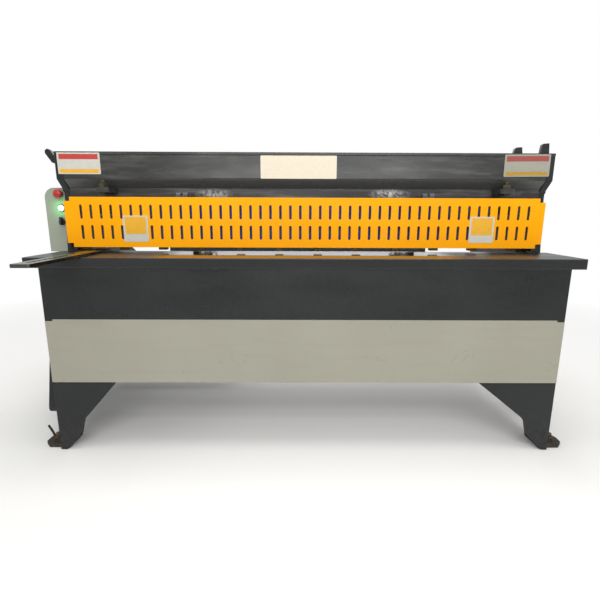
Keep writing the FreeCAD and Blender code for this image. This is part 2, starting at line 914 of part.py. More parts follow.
def hangers():
    """Hanger bolts of the hold-down bar, their nuts resting on the lugs of the ram."""
    beam_top = holddown_low + pad_height + holddown_height
    nut_low = lug_top() + seat_gap
    bolts = []
    for x in (-hanger_x, hanger_x):
        bolt = post(x, holddown_y, beam_top, nut_low + hanger_nut_height + hanger_tip, hanger_diameter)
        nut = Part.makePolygon([V(x + hanger_nut / 2.0 * math.cos(math.radians(60.0 * corner)),
                                  holddown_y + hanger_nut / 2.0 * math.sin(math.radians(60.0 * corner)),
                                  nut_low) for corner in range(7)])
        nut = Part.Face(nut).extrude(V(0, 0, hanger_nut_height))
        bolts.append(bolt.fuse(nut).removeSplitter())
    return Part.makeCompound(bolts)


def ram_lugs():
    """Bored lugs on the ram that the hanger bolts pass through."""
    top = lug_top()
    front = holddown_y - hanger_diameter / 2.0 - lug_hole_gap - lug_wall
    lugs = []
    for x in (-hanger_x, hanger_x):
        lug = box(x - lug_width / 2.0, x + lug_width / 2.0, front, carrier_front_y, top - lug_thickness, top)
        lug = bevelled(lug, lug_corner, lambda edge: upright(edge) and edge.CenterOfMass.y < front + overrun)
        lugs.append(lug.cut(post(x, holddown_y, top - lug_thickness - overrun, top + overrun,
                                 hanger_diameter + 2.0 * lug_hole_gap)))
    return Part.makeCompound(lugs)


def squaring_arm():
    """Ground squaring arm on the table, with a stop slot along it."""
    y0 = table_front_y - arm_front_reach
    y1 = blade_line_y - lower_blade_thickness - arm_blade_gap
    arm = box(arm_x - arm_width / 2.0, arm_x + arm_width / 2.0, y0, y1,
              table_height, table_height + arm_thickness)
    slot = box(arm_x - arm_slot_width / 2.0, arm_x + arm_slot_width / 2.0, y0 + arm_slot_start,
               table_front_y - arm_slot_end,
               table_height - overrun, table_height + arm_thickness + overrun)
    arm = arm.cut(slot)
    return rounded(arm, arm_corner, lambda edge: upright(edge) and edge.CenterOfMass.y < y0 + overrun)


def gauge_arms():
    """Two arms behind the ram, each with a riser down to the back gauge and an end plate."""
    low = gauge_arm_low
    y1 = carrier_back_y + gauge_arm_reach
    arm = box(gauge_arm_x, gauge_arm_x + gauge_arm_width, carrier_back_y, y1, low, low + gauge_arm_height)
    end = box(gauge_arm_x - gauge_end_reach, gauge_arm_x + gauge_arm_width, y1, y1 + gauge_end_plate,
              low - gauge_end_drop, low + gauge_arm_height)
    riser = box(gauge_arm_x, gauge_arm_x + gauge_arm_width, gauge_y, gauge_y + gauge_leg,
                low - gauge_riser, low + overrun)
    hole = bar_y(gauge_arm_x - gauge_screw_step, y1 - overrun, y1 + gauge_end_plate + overrun,
                 low + gauge_arm_height / 2.0, gauge_screw + 2.0 * seat_gap)
    return pair(arm.fuse([end, riser]).removeSplitter().cut(hole))


def gauge_screws():
    """Adjusting screws beside the arms, each with a small handwheel at the back."""
    low = gauge_arm_low
    y1 = carrier_back_y + gauge_arm_reach
    x = gauge_arm_x - gauge_screw_step
    z = low + gauge_arm_height / 2.0
    screw = bar_y(x, carrier_back_y, y1 + handwheel_offset + 2.0 * handwheel_rim, z, gauge_screw)
    rim_y = y1 + handwheel_offset
    reach = (handwheel_diameter - handwheel_rim) / 2.0
    wheel = bar_y(x, rim_y, rim_y + handwheel_rim, z, handwheel_diameter)
    wheel = wheel.cut(bar_y(x, rim_y - overrun, rim_y + handwheel_rim + overrun, z,
                            handwheel_diameter - 2.0 * handwheel_rim))
    spoke_y = rim_y + (handwheel_rim - spoke_plate) / 2.0
    half_spoke = spoke_width / 2.0
    spokes = [box(x - reach, x + reach, spoke_y, spoke_y + spoke_plate, z - half_spoke, z + half_spoke),
              box(x - half_spoke, x + half_spoke, spoke_y, spoke_y + spoke_plate, z - reach, z + reach)]
    screw = screw.fuse([wheel] + spokes).removeSplitter()
    return pair(screw)


def gauge_bar():
    """Back gauge: an angle hung under the risers of the two arms."""
    top = gauge_arm_low - gauge_riser
    outline = [
        (gauge_y, top),
        (gauge_y, top - gauge_face),
        (gauge_y + gauge_leg_plate, top - gauge_face),
        (gauge_y + gauge_leg_plate, top - gauge_leg_plate),
        (gauge_y + gauge_leg, top - gauge_leg_plate),
        (gauge_y + gauge_leg, top),
    ]
    return side_plate(outline, gauge_left_x, gauge_right_x)


def control_box():
    """Switch box at the left-hand end, its upper corners rounded, the outer one more."""
    case = box(box_left_x, box_right_x, box_front_y, box_front_y + box_depth, box_bottom, box_top)
    middle = (box_left_x + box_right_x) / 2.0
    case = rounded(case, box_left_corner, lambda edge: edge.CenterOfMass.z > box_top - overrun
                   and not along_x(edge) and edge.CenterOfMass.x < middle)
    return rounded(case, box_right_corner, lambda edge: edge.CenterOfMass.z > box_top - overrun
                   and edge.CenterOfMass.x > box_right_x - overrun)


def box_post():
    """Post from the drive cover up to the switch box."""
    x0 = box_right_x - post_width
    y1 = box_front_y + box_depth
    return box(x0, box_right_x, y1 - post_depth, y1, cover_top, box_bottom)


def collars():
    """Plain rings round the three controls on the face of the switch box."""
    rings = []
    for z, inner in ((stop_z, stop_stem), (start_z, start_diameter), (selector_z, selector_diameter)):
        ring = bar_y(control_x, box_front_y - collar_height, box_front_y, z, inner + 2.0 * collar_wall)
        bore = bar_y(control_x, box_front_y - collar_height - overrun, box_front_y + overrun, z,
                     inner + 2.0 * control_gap)
        rings.append(ring.cut(bore))
    return Part.makeCompound(rings)


def stop_button():
    """Mushroom button of the emergency stop."""
    face_y = box_front_y - collar_height
    stem = bar_y(control_x, face_y - stop_travel - stop_stem_show - overrun,
                 box_front_y - seat_gap - stop_travel, stop_z, stop_stem)
    cap = Part.makeCone(stop_diameter / 2.0, stop_face / 2.0, stop_cap,
                        V(control_x, face_y - stop_travel - stop_stem_show, stop_z), V(0, -1, 0))
    return cap.fuse(stem).removeSplitter()


def start_button():
    """Lit push button."""
    face_y = box_front_y - collar_height
    return bar_y(control_x, face_y - start_travel - start_proud, box_front_y - seat_gap - start_travel,
                 start_z, start_diameter)


def selector():
    """Selector switch: a round base with a raised grip across it."""
    face_y = box_front_y - collar_height
    base_y = face_y - selector_base_proud
    half_base = selector_diameter / 2.0
    base = bar_y(control_x, base_y, box_front_y - seat_gap, selector_z, selector_diameter)
    grip = box(control_x - selector_grip_width / 2.0, control_x + selector_grip_width / 2.0,
               base_y - selector_grip_depth, base_y,
               selector_z - half_base + selector_grip_inset, selector_z + half_base + selector_grip_rise)
    return base.fuse(grip).removeSplitter()


def left_ear():
    """Lifting ear on the left end of the ram, leaning outward with a rounded tip."""
    x0 = -half_ram
    z0 = ram_top - left_ear_height
    tip_x = x0 - left_ear_reach
    half_root = left_ear_root / 2.0
    half_shoulder = left_ear_shoulder / 2.0
    outline = [
        (x0, z0 - half_root),
        (x0 - left_ear_neck, z0 - half_root + half_shoulder),
        (tip_x, ram_top - left_ear_shoulder),
        (tip_x, ram_top + half_shoulder),
        (tip_x + left_ear_tip, ram_top + left_ear_tip_rise),
        (tip_x + left_ear_tip + left_ear_neck, ram_top + half_shoulder),
        (x0, z0 + half_root),
    ]
    front_y = ram_front_y + ear_set_back
    return front_plate(outline, front_y, front_y + ear_thickness)


def right_ears():
    """Two upstanding ears on the right end of the ram's top plate."""
    front_y = ram_front_y + ear_set_back
    ears = []
    for x, width, height in ((small_ear_x, small_ear_width, small_ear_height),
                             (right_ear_x, right_ear_width, right_ear_height)):
        left_x = x - width / 2.0
        right_x = x + width / 2.0
        outline = [
            (left_x, ram_top),
            (left_x + ear_lean, ram_top + height - ear_corner),
            (left_x + ear_lean + ear_corner, ram_top + height - ear_corner / 3.0),
            (right_x - ear_lean, ram_top + height),
            (right_x, ram_top),
        ]
        ears.append(front_plate(outline, front_y, front_y + ear_thickness))
    return Part.makeCompound(ears)


os.makedirs("parts", exist_ok=True)
right_plate = side_frame().cut(shaft_holes())
motor_hole = bar_x(-half_frame - overrun, -inner_frame + overrun, motor_y, motor_z,
                   motor_shaft + 2.0 * motor_shaft_gap)
save("right_side_frame", right_plate)
save("left_side_frame", mirrored(right_plate).cut(motor_hole))
save("foot_lugs", feet())
save("front_apron", apron())
save("front_panel", front_panel())
save("right_front_leg", front_leg())
save("left_front_leg", mirrored(front_leg()))
save("work_table", work_table())
save("table_ribs", table_ribs())
save("bed_beam", bed_beam())
save("lower_blade", lower_blade())
save("rear_beam", rear_beam())
save("front_cross_tube", cross_tubes())
save("ram_guides", ram_guides())
save("squaring_arm", squaring_arm())
save("guard", guard())
save("guard_brackets", guard_brackets())
save("drive_cover", drive_cover())
save("crank_cover", crank_cover())
save("crank_shaft", crank_shaft())
save("crank_bearings", crank_bearings())
save("motor", motor())
save("motor_shelf", motor_shelf())
save("control_box", control_box())
save("control_box_post", box_post())
save("control_collars", collars())
save("blade_carrier", carrier())
save("upper_blade", upper_blade())
save("ram_front_plate", ram_front())
save("ram_top_plate", ram_top_plate())
save("ram_ribs", ram_ribs())
save("right_ram_end", ram_end())
save("left_ram_end", mirrored(ram_end()))
save("right_pull_rod", pull_rod())
save("left_pull_rod", mirrored(pull_rod()))
save("hanger_lugs", ram_lugs())
save("left_lifting_ear", left_ear())
save("right_lifting_ears", right_ears())
save("back_gauge_arms", gauge_arms())
save("back_gauge_screws", gauge_screws())
save("back_gauge_bar", gauge_bar())
save("holddown_beam", holddown_beam())
save("holddown_pads", holddown_pads())
save("holddown_hangers", hangers())
save("emergency_stop", stop_button())
save("start_button", start_button())
save("selector_switch", selector())
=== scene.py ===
"""Looks of the mechanical plate shear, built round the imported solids.

Metres, in the solids' own frame: +X along the blades, +Y to the back, +Z up, the floor at 0.
Names that end in _mm, turned profiles and screw sizes are in millimetres.
"""

import math
import random

import bmesh
import bpy
from mathutils import Matrix, Vector


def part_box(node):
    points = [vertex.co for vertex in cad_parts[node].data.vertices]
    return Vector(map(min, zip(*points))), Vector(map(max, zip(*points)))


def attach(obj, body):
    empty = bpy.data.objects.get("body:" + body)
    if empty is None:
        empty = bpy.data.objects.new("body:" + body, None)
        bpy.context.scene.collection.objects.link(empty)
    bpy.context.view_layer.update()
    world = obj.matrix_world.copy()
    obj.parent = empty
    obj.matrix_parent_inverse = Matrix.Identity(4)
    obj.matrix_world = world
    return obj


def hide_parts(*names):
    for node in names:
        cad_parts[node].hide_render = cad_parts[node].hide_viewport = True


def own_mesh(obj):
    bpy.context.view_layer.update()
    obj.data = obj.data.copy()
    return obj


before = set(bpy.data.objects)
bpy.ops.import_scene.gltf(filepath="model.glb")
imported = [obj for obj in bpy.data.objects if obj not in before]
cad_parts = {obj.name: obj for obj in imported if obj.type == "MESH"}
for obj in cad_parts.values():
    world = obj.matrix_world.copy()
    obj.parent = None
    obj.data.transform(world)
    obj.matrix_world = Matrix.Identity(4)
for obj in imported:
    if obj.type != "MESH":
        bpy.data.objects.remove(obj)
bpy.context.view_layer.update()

MM = 0.001
TURN = 2.0 * math.pi
SIDES = (-1, 1)
UP, BACK, RIGHT, LEFT = (0, 0, 1), (0, 1, 0), (1, 0, 0), (-1, 0, 0)

# The photograph's camera, found from its perspective: degrees, and mm for the lens
CAMERA_PLACE = (-0.0295, -2.0305, 0.9674)
CAMERA_TILT_DOWN = 11.93
CAMERA_TURN = -0.28
CAMERA_ROLL = 0.22
LENS = 24.66
SENSOR = 36.0

# Guard pattern, as in the solids
SLOTS_IN_ROW = 46
SLOT_END_MARGIN = 67.75 * MM
SLOT_WIDTH = 10.5 * MM
SLOT_HEIGHT = 58.5 * MM
SLOT_ROW_LOW = 33.5 * MM
SLOT_ROW_STEP = 84.5 * MM
GUARD_SHEET = 3.0 * MM
GUARD_NOTCH = (24.0 * MM, 17.0 * MM)

# Hold-down gear
HANGERS = (-855.0 * MM, 855.0 * MM)
SPRING_WIRE = 4.5 * MM
SPRING_COIL = 34.0 * MM
SPRING_TURNS = 6

# Right front leg: toe width, then ankle and knee by their distance from the leg's outer edge and
# their height, and how much further in its gusset starts than the left one's
LEG_TOE = 26.0 * MM
LEG_ANKLE = (97.0 * MM, 78.0 * MM)
LEG_KNEE = (110.0 * MM, 135.0 * MM)
RIGHT_GUSSET_REACH = 58.0 * MM

# Film plates: left, right, bottom and top edge
MIDDLE_PLATE = (-0.191, 0.134, 1.112, 1.2065)
LEFT_PLATE = (-1.053, -0.872, 1.127, 1.215)
RIGHT_PLATE = (0.850, 1.045, 1.124, 1.215)
LEFT_GUARD_PLATE = (-0.766, -0.662, 0.846, 0.955)
RIGHT_GUARD_PLATE = (0.694, 0.798, 0.846, 0.955)

# Painted highlights on the blade carrier, whitish blotches of mirrored light: x, z, half width, half
# height, strength
CARRIER_PAINTED_GLINTS = ((0.375, 1.050, 0.100, 0.026, 1.0), (-0.398, 1.048, 0.095, 0.024, 0.75))

FLOOR_SIZE = 40.0
ROOM_LIGHT = 0.52
ROOM_MIRRORED = 0.88
WHITE = (1.0, 1.0, 1.0, 1.0)
GLOW_WATTS = 0.10

# Softboxes: place, the point they aim at, width, height, watts. The ram's face mirrors the strip.
SOFTBOXES = {
    "overhead_softbox": ((0.0, -0.4, 3.6), (0.0, 0.0, 0.6), 3.4, 2.2, 62.0),
    "front_softbox": ((0.2, -3.5, 2.9), (0.0, 0.0, 0.8), 3.2, 1.1, 58.0),
    "front_strip": ((0.25, -3.3, 1.42), (0.25, 0.0, 1.1), 3.1, 0.34, 24.0),
    "back_softbox": ((0.4, 3.4, 2.7), (0.0, 0.0, 0.6), 3.0, 1.4, 45.0),
}


def linear(hex_colour):
    """Scene-linear RGBA of an sRGB hex colour."""
    parts = [int(hex_colour[i:i + 2], 16) / 255.0 for i in (0, 2, 4)]
    return tuple(c / 12.92 if c <= 0.04045 else ((c + 0.055) / 1.055) ** 2.4 for c in parts) + (1.0,)


def add(tree, kind, inputs=None, **settings):
    """Add one shader node. An input takes a value, a socket, or another node's first live output."""
    made = tree.nodes.new("ShaderNode" + kind)
    for name, value in settings.items():
        setattr(made, name, value)
    live = [socket for socket in made.inputs if socket.enabled]
    for name, value in (inputs or {}).items():
        entry = live[name] if isinstance(name, int) else next(s for s in live if s.name == name)
        if isinstance(value, bpy.types.Node):
            value = next(socket for socket in value.outputs if socket.enabled)
        if isinstance(value, bpy.types.NodeSocket):
            tree.links.new(value, entry)
        else:
            entry.default_value = value
    return made


def new_finish(name):
    """An empty material, its tree, and the place of each point on the piece."""
    material = bpy.data.materials.new(name)
    material.use_nodes = True
    tree = material.node_tree
    tree.nodes.clear()
    return material, tree, add(tree, "TexCoord").outputs["Object"]


def toned(colour, share):
    """A colour made darker or lighter by a share of itself."""
    return tuple(min(1.0, c * share) for c in colour[:3]) + (1.0,)


def every(size_mm):
    """Scale of a pattern whose parts are about this size."""
    return 1.0 / (size_mm * MM)


def edge_wear(tree, place, reach_mm):
    """1 where a convex edge is rubbed: the rounded normal leaves the flat one, broken by noise."""
    flat = add(tree, "NewGeometry").outputs["Normal"]
    rounded = add(tree, "Bevel", {"Radius": reach_mm * MM}, samples=4)
    agreement = add(tree, "VectorMath", {0: flat, 1: rounded}, operation="DOT_PRODUCT")
    edge = add(tree, "MapRange", {"Value": agreement.outputs["Value"],
                                  "From Min": 0.985, "From Max": 0.86})
    cloud = add(tree, "TexNoise", {"Vector": place, "Scale": every(45), "Detail": 4.0})
    patches = add(tree, "MapRange", {"Value": cloud, "From Min": 0.50, "From Max": 0.66})
    return add(tree, "Math", {0: edge, 1: patches}, operation="MULTIPLY")


def painted_glint(tree, place, glint, front):
    """1 in a ragged oval on a front face: a painted highlight, a whitish blotch of mirrored light.
    """
    x, z, wide, tall, strength = glint
    centred = add(tree, "Mapping", {"Vector": place, "Location": (-x / wide, 0.0, -z / tall),
                                    "Scale": (1.0 / wide, 0.0, 1.0 / tall)})
    away = add(tree, "VectorMath", {0: centred}, operation="LENGTH").outputs["Value"]
    inside = add(tree, "MapRange", {"Value": away, "From Min": 1.0, "From Max": 0.3,
                                    "To Max": strength})
    ragged = add(tree, "TexNoise", {"Vector": place, "Scale": every(16), "Detail": 5.0,
                                    "Roughness": 0.7})
    broken = add(tree, "MapRange", {"Value": ragged, "From Min": 0.40, "From Max": 0.62})
    ragged_glint = add(tree, "Math", {0: inside, 1: broken}, operation="MULTIPLY")
    return add(tree, "Math", {0: ragged_glint, 1: front}, operation="MULTIPLY")


def painted_steel(name, colour, roughness, sheen=0.25, tone=0.10, peel_mm=2.5, peel_depth_mm=0.006,
                  dust="8E8A80", dust_share=0.10, primer="6E6A64", wear=0.6, spots=0.0,
                  streak_and_reflection=0.0, streak_and_reflection_colour="8C8880", painted_bounce_light=1.0, primed_above=0.0,
                  ends=(), end_dust="", painted_glints=(), oil_film=0.0, front_dip_mm=0.0):
    """Enamel or powder coat on plate: orange peel, uneven tone, settled dust, rubbed edges, and
    where asked painted reflections, painted highlights and painted bounce light.
    """
    material, tree, place = new_finish(name)
    paint = linear(colour)
    at = add(tree, "SeparateXYZ", {"Vector": place}).outputs
    normal = add(tree, "NewGeometry").outputs["Normal"]
    facing_way = add(tree, "SeparateXYZ", {"Vector": normal}).outputs
    facing_up = facing_way["Z"]
    patchy = add(tree, "TexNoise", {"Vector": place, "Scale": every(350), "Detail": 3.0})
    cloud = add(tree, "MapRange", {"Value": patchy, "From Min": 0.35, "From Max": 0.65})
    shade = add(tree, "Mix", {"Factor": cloud, "A": toned(paint, 1.0 - tone),
                              "B": toned(paint, 1.0 + tone)}, data_type="RGBA")

    # What lies over the paint, from the inside out: its share at each point, and its colour
    layers = []
    if streak_and_reflection:
        # Long marks that run along X: wiping marks, and, where they are pale on dark paint, a
        # painted reflection
        long_way = add(tree, "Mapping", {"Vector": place, "Scale": (0.12, 1.0, 1.0)})
        marks = add(tree, "TexNoise", {"Vector": long_way, "Scale": every(30), "Detail": 5.0,
                                       "Roughness": 0.62})
        pale = add(tree, "MapRange", {"Value": marks, "From Min": 0.50, "From Max": 0.74,
                                      "To Max": streak_and_reflection})
        layers.append((pale, linear(streak_and_reflection_colour)))
    if painted_bounce_light != 1.0:
        # What faces down is painted lighter: a painted bounce light from the floor
        painted_bounce_mask = add(tree, "MapRange", {"Value": facing_up, "From Min": -0.3, "From Max": -0.6})
        layers.append((painted_bounce_mask, toned(paint, painted_bounce_light)))
    if primed_above:
        # The forks stand above the coloured coat, in dark primer
        above = add(tree, "MapRange", {"Value": at["Z"], "From Min": primed_above,
                                       "From Max": primed_above + 2.0 * MM})
        layers.append((above, linear("23262E")))
    if ends:
        # How near a point is to either end: 0 in the middle of the length, 1 at the ends
        out = add(tree, "Math", {0: at["X"]}, operation="ABSOLUTE")
        near_end = add(tree, "MapRange", {"Value": out, "From Min": ends[0], "From Max": ends[1]})
    if end_dust:
        # Grey dust and grease gather where the ends are never wiped
        layers.append((near_end, linear(end_dust)))
    # Whitish blotches on front faces: painted highlights that stand for mirrored light
    if painted_glints:
        front = add(tree, "MapRange", {"Value": facing_way["Y"], "From Min": -0.5, "From Max": -0.9})
        for glint in painted_glints:
            layers.append((painted_glint(tree, place, glint, front), linear("DAD8D2")))
    # Dust settles on what faces up and in the lowest 0.2 m near the floor
    upward = add(tree, "MapRange", {"Value": facing_up, "From Min": 0.3, "From Max": 1.0,
                                    "To Min": 0.15, "To Max": 0.6})
    low_down = add(tree, "MapRange", {"Value": at["Z"], "From Min": 0.22, "From Max": 0.0})
    settled = add(tree, "Math", {0: upward, 1: low_down}, operation="MAXIMUM")
    grain = add(tree, "TexNoise", {"Vector": place, "Scale": every(20), "Detail": 6.0,
                                   "Roughness": 0.7})
    grains = add(tree, "MapRange", {"Value": grain, "From Min": 0.42, "From Max": 0.72,
                                    "To Max": dust_share})
    film = add(tree, "Math", {0: settled, 1: grains}, operation="MULTIPLY")
    layers.append((film, linear(dust)))
    if spots:
        # Specks and splashes, 6 to 9 mm across and about 160 mm apart
        cells = add(tree, "TexVoronoi", {"Vector": place, "Scale": every(160)})
        speck = add(tree, "MapRange", {"Value": cells, "From Min": 0.028, "From Max": 0.018,
                                       "To Max": spots})
        layers.append((speck, linear("4A4038")))
    worn = add(tree, "Math", {0: edge_wear(tree, place, 2.0), 1: wear}, operation="MULTIPLY")
    layers.append((worn, linear(primer)))
    for share, over in layers:
        shade = add(tree, "Mix", {"Factor": share, "A": shade, "B": over}, data_type="RGBA")

    # Wiping also leaves the gloss uneven, longer along X
    along = add(tree, "Mapping", {"Vector": place, "Scale": (0.35, 1.0, 1.0)})
    smear = add(tree, "TexNoise", {"Vector": along, "Scale": every(90), "Detail": 4.0})
    gloss = add(tree, "MapRange", {"Value": smear, "From Min": 0.35, "From Max": 0.70,
                                   "To Min": roughness * 0.8, "To Max": roughness * 1.45})
    gloss = add(tree, "Math", {0: film, 1: 1.5, 2: gloss}, operation="MULTIPLY_ADD")
    peel = add(tree, "TexNoise", {"Vector": place, "Scale": every(peel_mm), "Detail": 2.0})
    waves = add(tree, "TexNoise", {"Vector": place, "Scale": every(140), "Detail": 0.0})
    swell = add(tree, "Math", {0: waves, 1: 0.25}, operation="MULTIPLY")
    relief = add(tree, "Math", {0: peel, 1: peel_depth_mm, 2: swell}, operation="MULTIPLY_ADD")
    if front_dip_mm:
        # The front 0.11 m of the table dips a little, and so it mirrors the guard's face
        dip = add(tree, "MapRange", {"Value": at["Y"], "From Min": -0.365, "From Max": -0.48,
                                     "To Max": -front_dip_mm})
        relief = add(tree, "Math", {0: relief, 1: dip}, operation="ADD")
    bump = add(tree, "Bump", {"Height": relief, "Strength": 1.0, "Distance": MM})
    surface = {"Base Color": shade, "Roughness": gloss, "Normal": bump, "IOR": 1.5,
               "Specular IOR Level": sheen, "Coat Roughness": 0.06}
    if oil_film:
        # Sheets polish the upper face and drag oil over it, which then mirrors like varnish.
        # They pass over the middle only, and the two ends stay dull.
        level = add(tree, "MapRange", {"Value": facing_up, "From Min": 0.90, "From Max": 0.99})
        dull = add(tree, "Math", {0: near_end, 1: level}, operation="MULTIPLY")
        gloss = add(tree, "Math", {0: dull, 1: 0.24, 2: gloss}, operation="MULTIPLY_ADD")
        wet = add(tree, "Math", {0: level, 1: dull}, operation="SUBTRACT")
        wet = add(tree, "Math", {0: wet, 1: oil_film}, operation="MULTIPLY")
        surface.update({"Roughness": gloss, "Coat Weight": wet, "Coat Normal": bump})
    add(tree, "OutputMaterial", {"Surface": add(tree, "BsdfPrincipled", surface)})
    return material


def ground_steel(name, colour, roughness, along, stain_share=0.35):
    """Ground or turned bare steel: fine parallel lines along one axis, oil stains, a few bruises."""
    material, tree, place = new_finish(name)
    stretch = [1.0, 1.0, 1.0]
    stretch["XYZ".index(along)] = 0.02
    # Real grinding lines are about 0.05 mm apart; drawn 1.2 mm apart so that they show
    drawn = add(tree, "Mapping", {"Vector": place, "Scale": stretch})
    lines = add(tree, "TexNoise", {"Vector": drawn, "Scale": every(1.2), "Detail": 2.0})
    contrast = add(tree, "MapRange", {"Value": lines, "From Min": 0.3, "From Max": 0.7})
    metal = linear(colour)
    shade = add(tree, "Mix", {"Factor": contrast, "A": toned(metal, 0.72), "B": metal},
                data_type="RGBA")
    oil = add(tree, "TexNoise", {"Vector": place, "Scale": every(60), "Detail": 5.0,
                                 "Roughness": 0.65})
    patches = add(tree, "MapRange", {"Value": oil, "From Min": 0.52, "From Max": 0.74,
                                     "To Max": stain_share})
    shade = add(tree, "Mix", {"Factor": patches, "A": shade, "B": linear("5A5148")},
                data_type="RGBA")
    gloss = add(tree, "MapRange", {"Value": lines, "From Min": 0.3, "From Max": 0.7,
                                   "To Min": roughness * 1.3, "To Max": roughness * 0.8})
    gloss = add(tree, "Math", {0: patches, 1: 0.3, 2: gloss}, operation="MULTIPLY_ADD")
    bump = add(tree, "Bump", {"Height": lines, "Strength": 0.35, "Distance": 0.05 * MM})
    shader = add(tree, "BsdfPrincipled", {"Base Color": shade, "Roughness": gloss, "Normal": bump,
                                          "Metallic": 1.0})
    add(tree, "OutputMaterial", {"Surface": shader})
    return material


def grimy_steel(name, colour, rust="6B4A2E", rust_share=0.4, roughness=0.45):
    """Plated or blackened fasteners with oil, dust and a little rust in the corners."""
    material, tree, place = new_finish(name)
    metal = linear(colour)
    cloud = add(tree, "TexNoise", {"Vector": place, "Scale": every(12), "Detail": 5.0,
                                   "Roughness": 0.65})
    contrast = add(tree, "MapRange", {"Value": cloud, "From Min": 0.3, "From Max": 0.7})
    shade = add(tree, "Mix", {"Factor": contrast, "A": toned(metal, 0.6), "B": metal},
                data_type="RGBA")
    grime = add(tree, "TexNoise", {"Vector": place, "Scale": every(25), "Detail": 6.0,
                                   "Roughness": 0.7})
    patches = add(tree, "MapRange", {"Value": grime, "From Min": 0.5, "From Max": 0.66,
                                     "To Max": rust_share})
    shade = add(tree, "Mix", {"Factor": patches, "A": shade, "B": linear(rust)}, data_type="RGBA")
    gloss = add(tree, "MapRange", {"Value": patches, "From Max": 0.4, "To Min": roughness,
                                   "To Max": 0.8})
    metallic = add(tree, "MapRange", {"Value": patches, "From Max": 0.4, "To Min": 0.85,
                                      "To Max": 0.1})
    bump = add(tree, "Bump", {"Height": cloud, "Strength": 0.5, "Distance": 0.2 * MM})
    shader = add(tree, "BsdfPrincipled", {"Base Color": shade, "Roughness": gloss, "Normal": bump,
                                          "Metallic": metallic})
    add(tree, "OutputMaterial", {"Surface": shader})
    return material


def moulded_plastic(name, colour, roughness, glow=0.0, glow_colour="FFFFFF"):
    """Moulded plastic or a plain film: fine grain, finger grease, and a lamp behind it if lit."""
    material, tree, place = new_finish(name)
    plastic = linear(colour)
    grease = add(tree, "TexNoise", {"Vector": place, "Scale": every(12), "Detail": 4.0})
    greasy = add(tree, "MapRange", {"Value": grease, "From Min": 0.35, "From Max": 0.7})
    shade = add(tree, "Mix", {"Factor": greasy, "A": plastic, "B": toned(plastic, 1.06)},
                data_type="RGBA")
    gloss = add(tree, "MapRange", {"Value": greasy, "To Min": roughness * 0.85,
                                   "To Max": roughness * 1.3})
    # The mould's grain is about 0.1 mm; drawn at 0.8 mm so that it shows
    grain = add(tree, "TexNoise", {"Vector": place, "Scale": every(0.8), "Detail": 2.0})
    bump = add(tree, "Bump", {"Height": grain, "Strength": 0.3, "Distance": 0.05 * MM})
    shader = add(tree, "BsdfPrincipled", {"Base Color": shade, "Roughness": gloss, "Normal": bump,
                                          "Emission Color": linear(glow_colour),
                                          "Emission Strength": glow})
    add(tree, "OutputMaterial", {"Surface": shader})
    return material


def scraped_bronze(name):
    """Scraped tin bronze with oil: warm metal with a scraping pattern of 9 mm flakes."""
    material, tree, place = new_finish(name)
    flakes = add(tree, "TexVoronoi", {"Vector": place, "Scale": every(9)})
    scraped = add(tree, "MapRange", {"Value": flakes, "From Min": 0.1, "From Max": 0.6})
    shade = add(tree, "Mix", {"Factor": scraped, "A": linear("B48A48"), "B": linear("8A6632")},
                data_type="RGBA")
    bump = add(tree, "Bump", {"Height": flakes, "Strength": 0.3, "Distance": 0.1 * MM})
    gloss = add(tree, "MapRange", {"Value": flakes, "From Max": 0.7, "To Min": 0.25, "To Max": 0.45})
    shader = add(tree, "BsdfPrincipled", {"Base Color": shade, "Roughness": gloss, "Normal": bump,
                                          "Metallic": 1.0})
    add(tree, "OutputMaterial", {"Surface": shader})
    return material


# Alkyd enamel sprayed on plate gives a dark neutral sheen with soft smears
DARK = painted_steel("anthracite_enamel_on_plate", "1D1F20", 0.32, sheen=0.32)
# Enamel polished by sliding sheets mirrors the guard as an orange band, and is dull at its ends
TABLE = painted_steel("anthracite_enamel_table", "262728", 0.10, sheen=0.45, dust_share=0.03,
                      primer="8C8880", wear=0.5, oil_film=0.35, front_dip_mm=7.4,
                      ends=(0.52, 0.62))
# Enamel wiped many times shows long pale marks, partly a painted reflection, and soft mirrored
# light; its down-facing faces are painted lighter, a painted bounce light
RAM_DARK = painted_steel("anthracite_enamel_ram", "2A2B2A", 0.24, sheen=0.42, peel_depth_mm=0.015,
                         streak_and_reflection=0.30, streak_and_reflection_colour="7E7C76", painted_bounce_light=3.4)
# Sprayed enamel with settled dust; its pale streaks and the whitish blotches above the guard are
# painted highlights
CARRIER_DARK = painted_steel("dusty_enamel_carrier_painted_highlights", "2B2928", 0.38, sheen=0.4, tone=0.2,
                             streak_and_reflection=0.34, streak_and_reflection_colour="9E9A92", painted_glints=CARRIER_PAINTED_GLINTS)
# Sprayed blue enamel tints the guard's slots, and greys towards the bar's ends
BLUE = painted_steel("blue_enamel_holddown_bar", "3048A8", 0.40, sheen=0.5, tone=0.12,
                     dust_share=0.08, primed_above=1.010, ends=(0.40, 0.90), end_dust="69707A")
# Sprayed pale enamel gives an even satin grey with faint wiping marks and a few specks
PANEL = painted_steel("pale_grey_enamel_panel", "969486", 0.34, sheen=0.4, tone=0.03,
                      dust="7A6E60", primer="5A564E", wear=0.5, spots=0.8,
                      streak_and_reflection=0.12, streak_and_reflection_colour="7C766A")
# Baked powder coat gives a strong even orange with a fine peel and hardly any gloss
ORANGE = painted_steel("orange_powder_coat_guard", "FFA902", 0.42, sheen=0.12, tone=0.03,
                       peel_mm=3.0, dust="C98A2A", dust_share=0.05, primer="9A6A20", wear=0.4)
# Thick enamel over sand-cast iron gives a lumpy grey-blue gloss
MOTOR_GREY = painted_steel("grey_blue_enamel_castings", "59656B", 0.42, sheen=0.5,
                           peel_mm=4.0, peel_depth_mm=0.02)
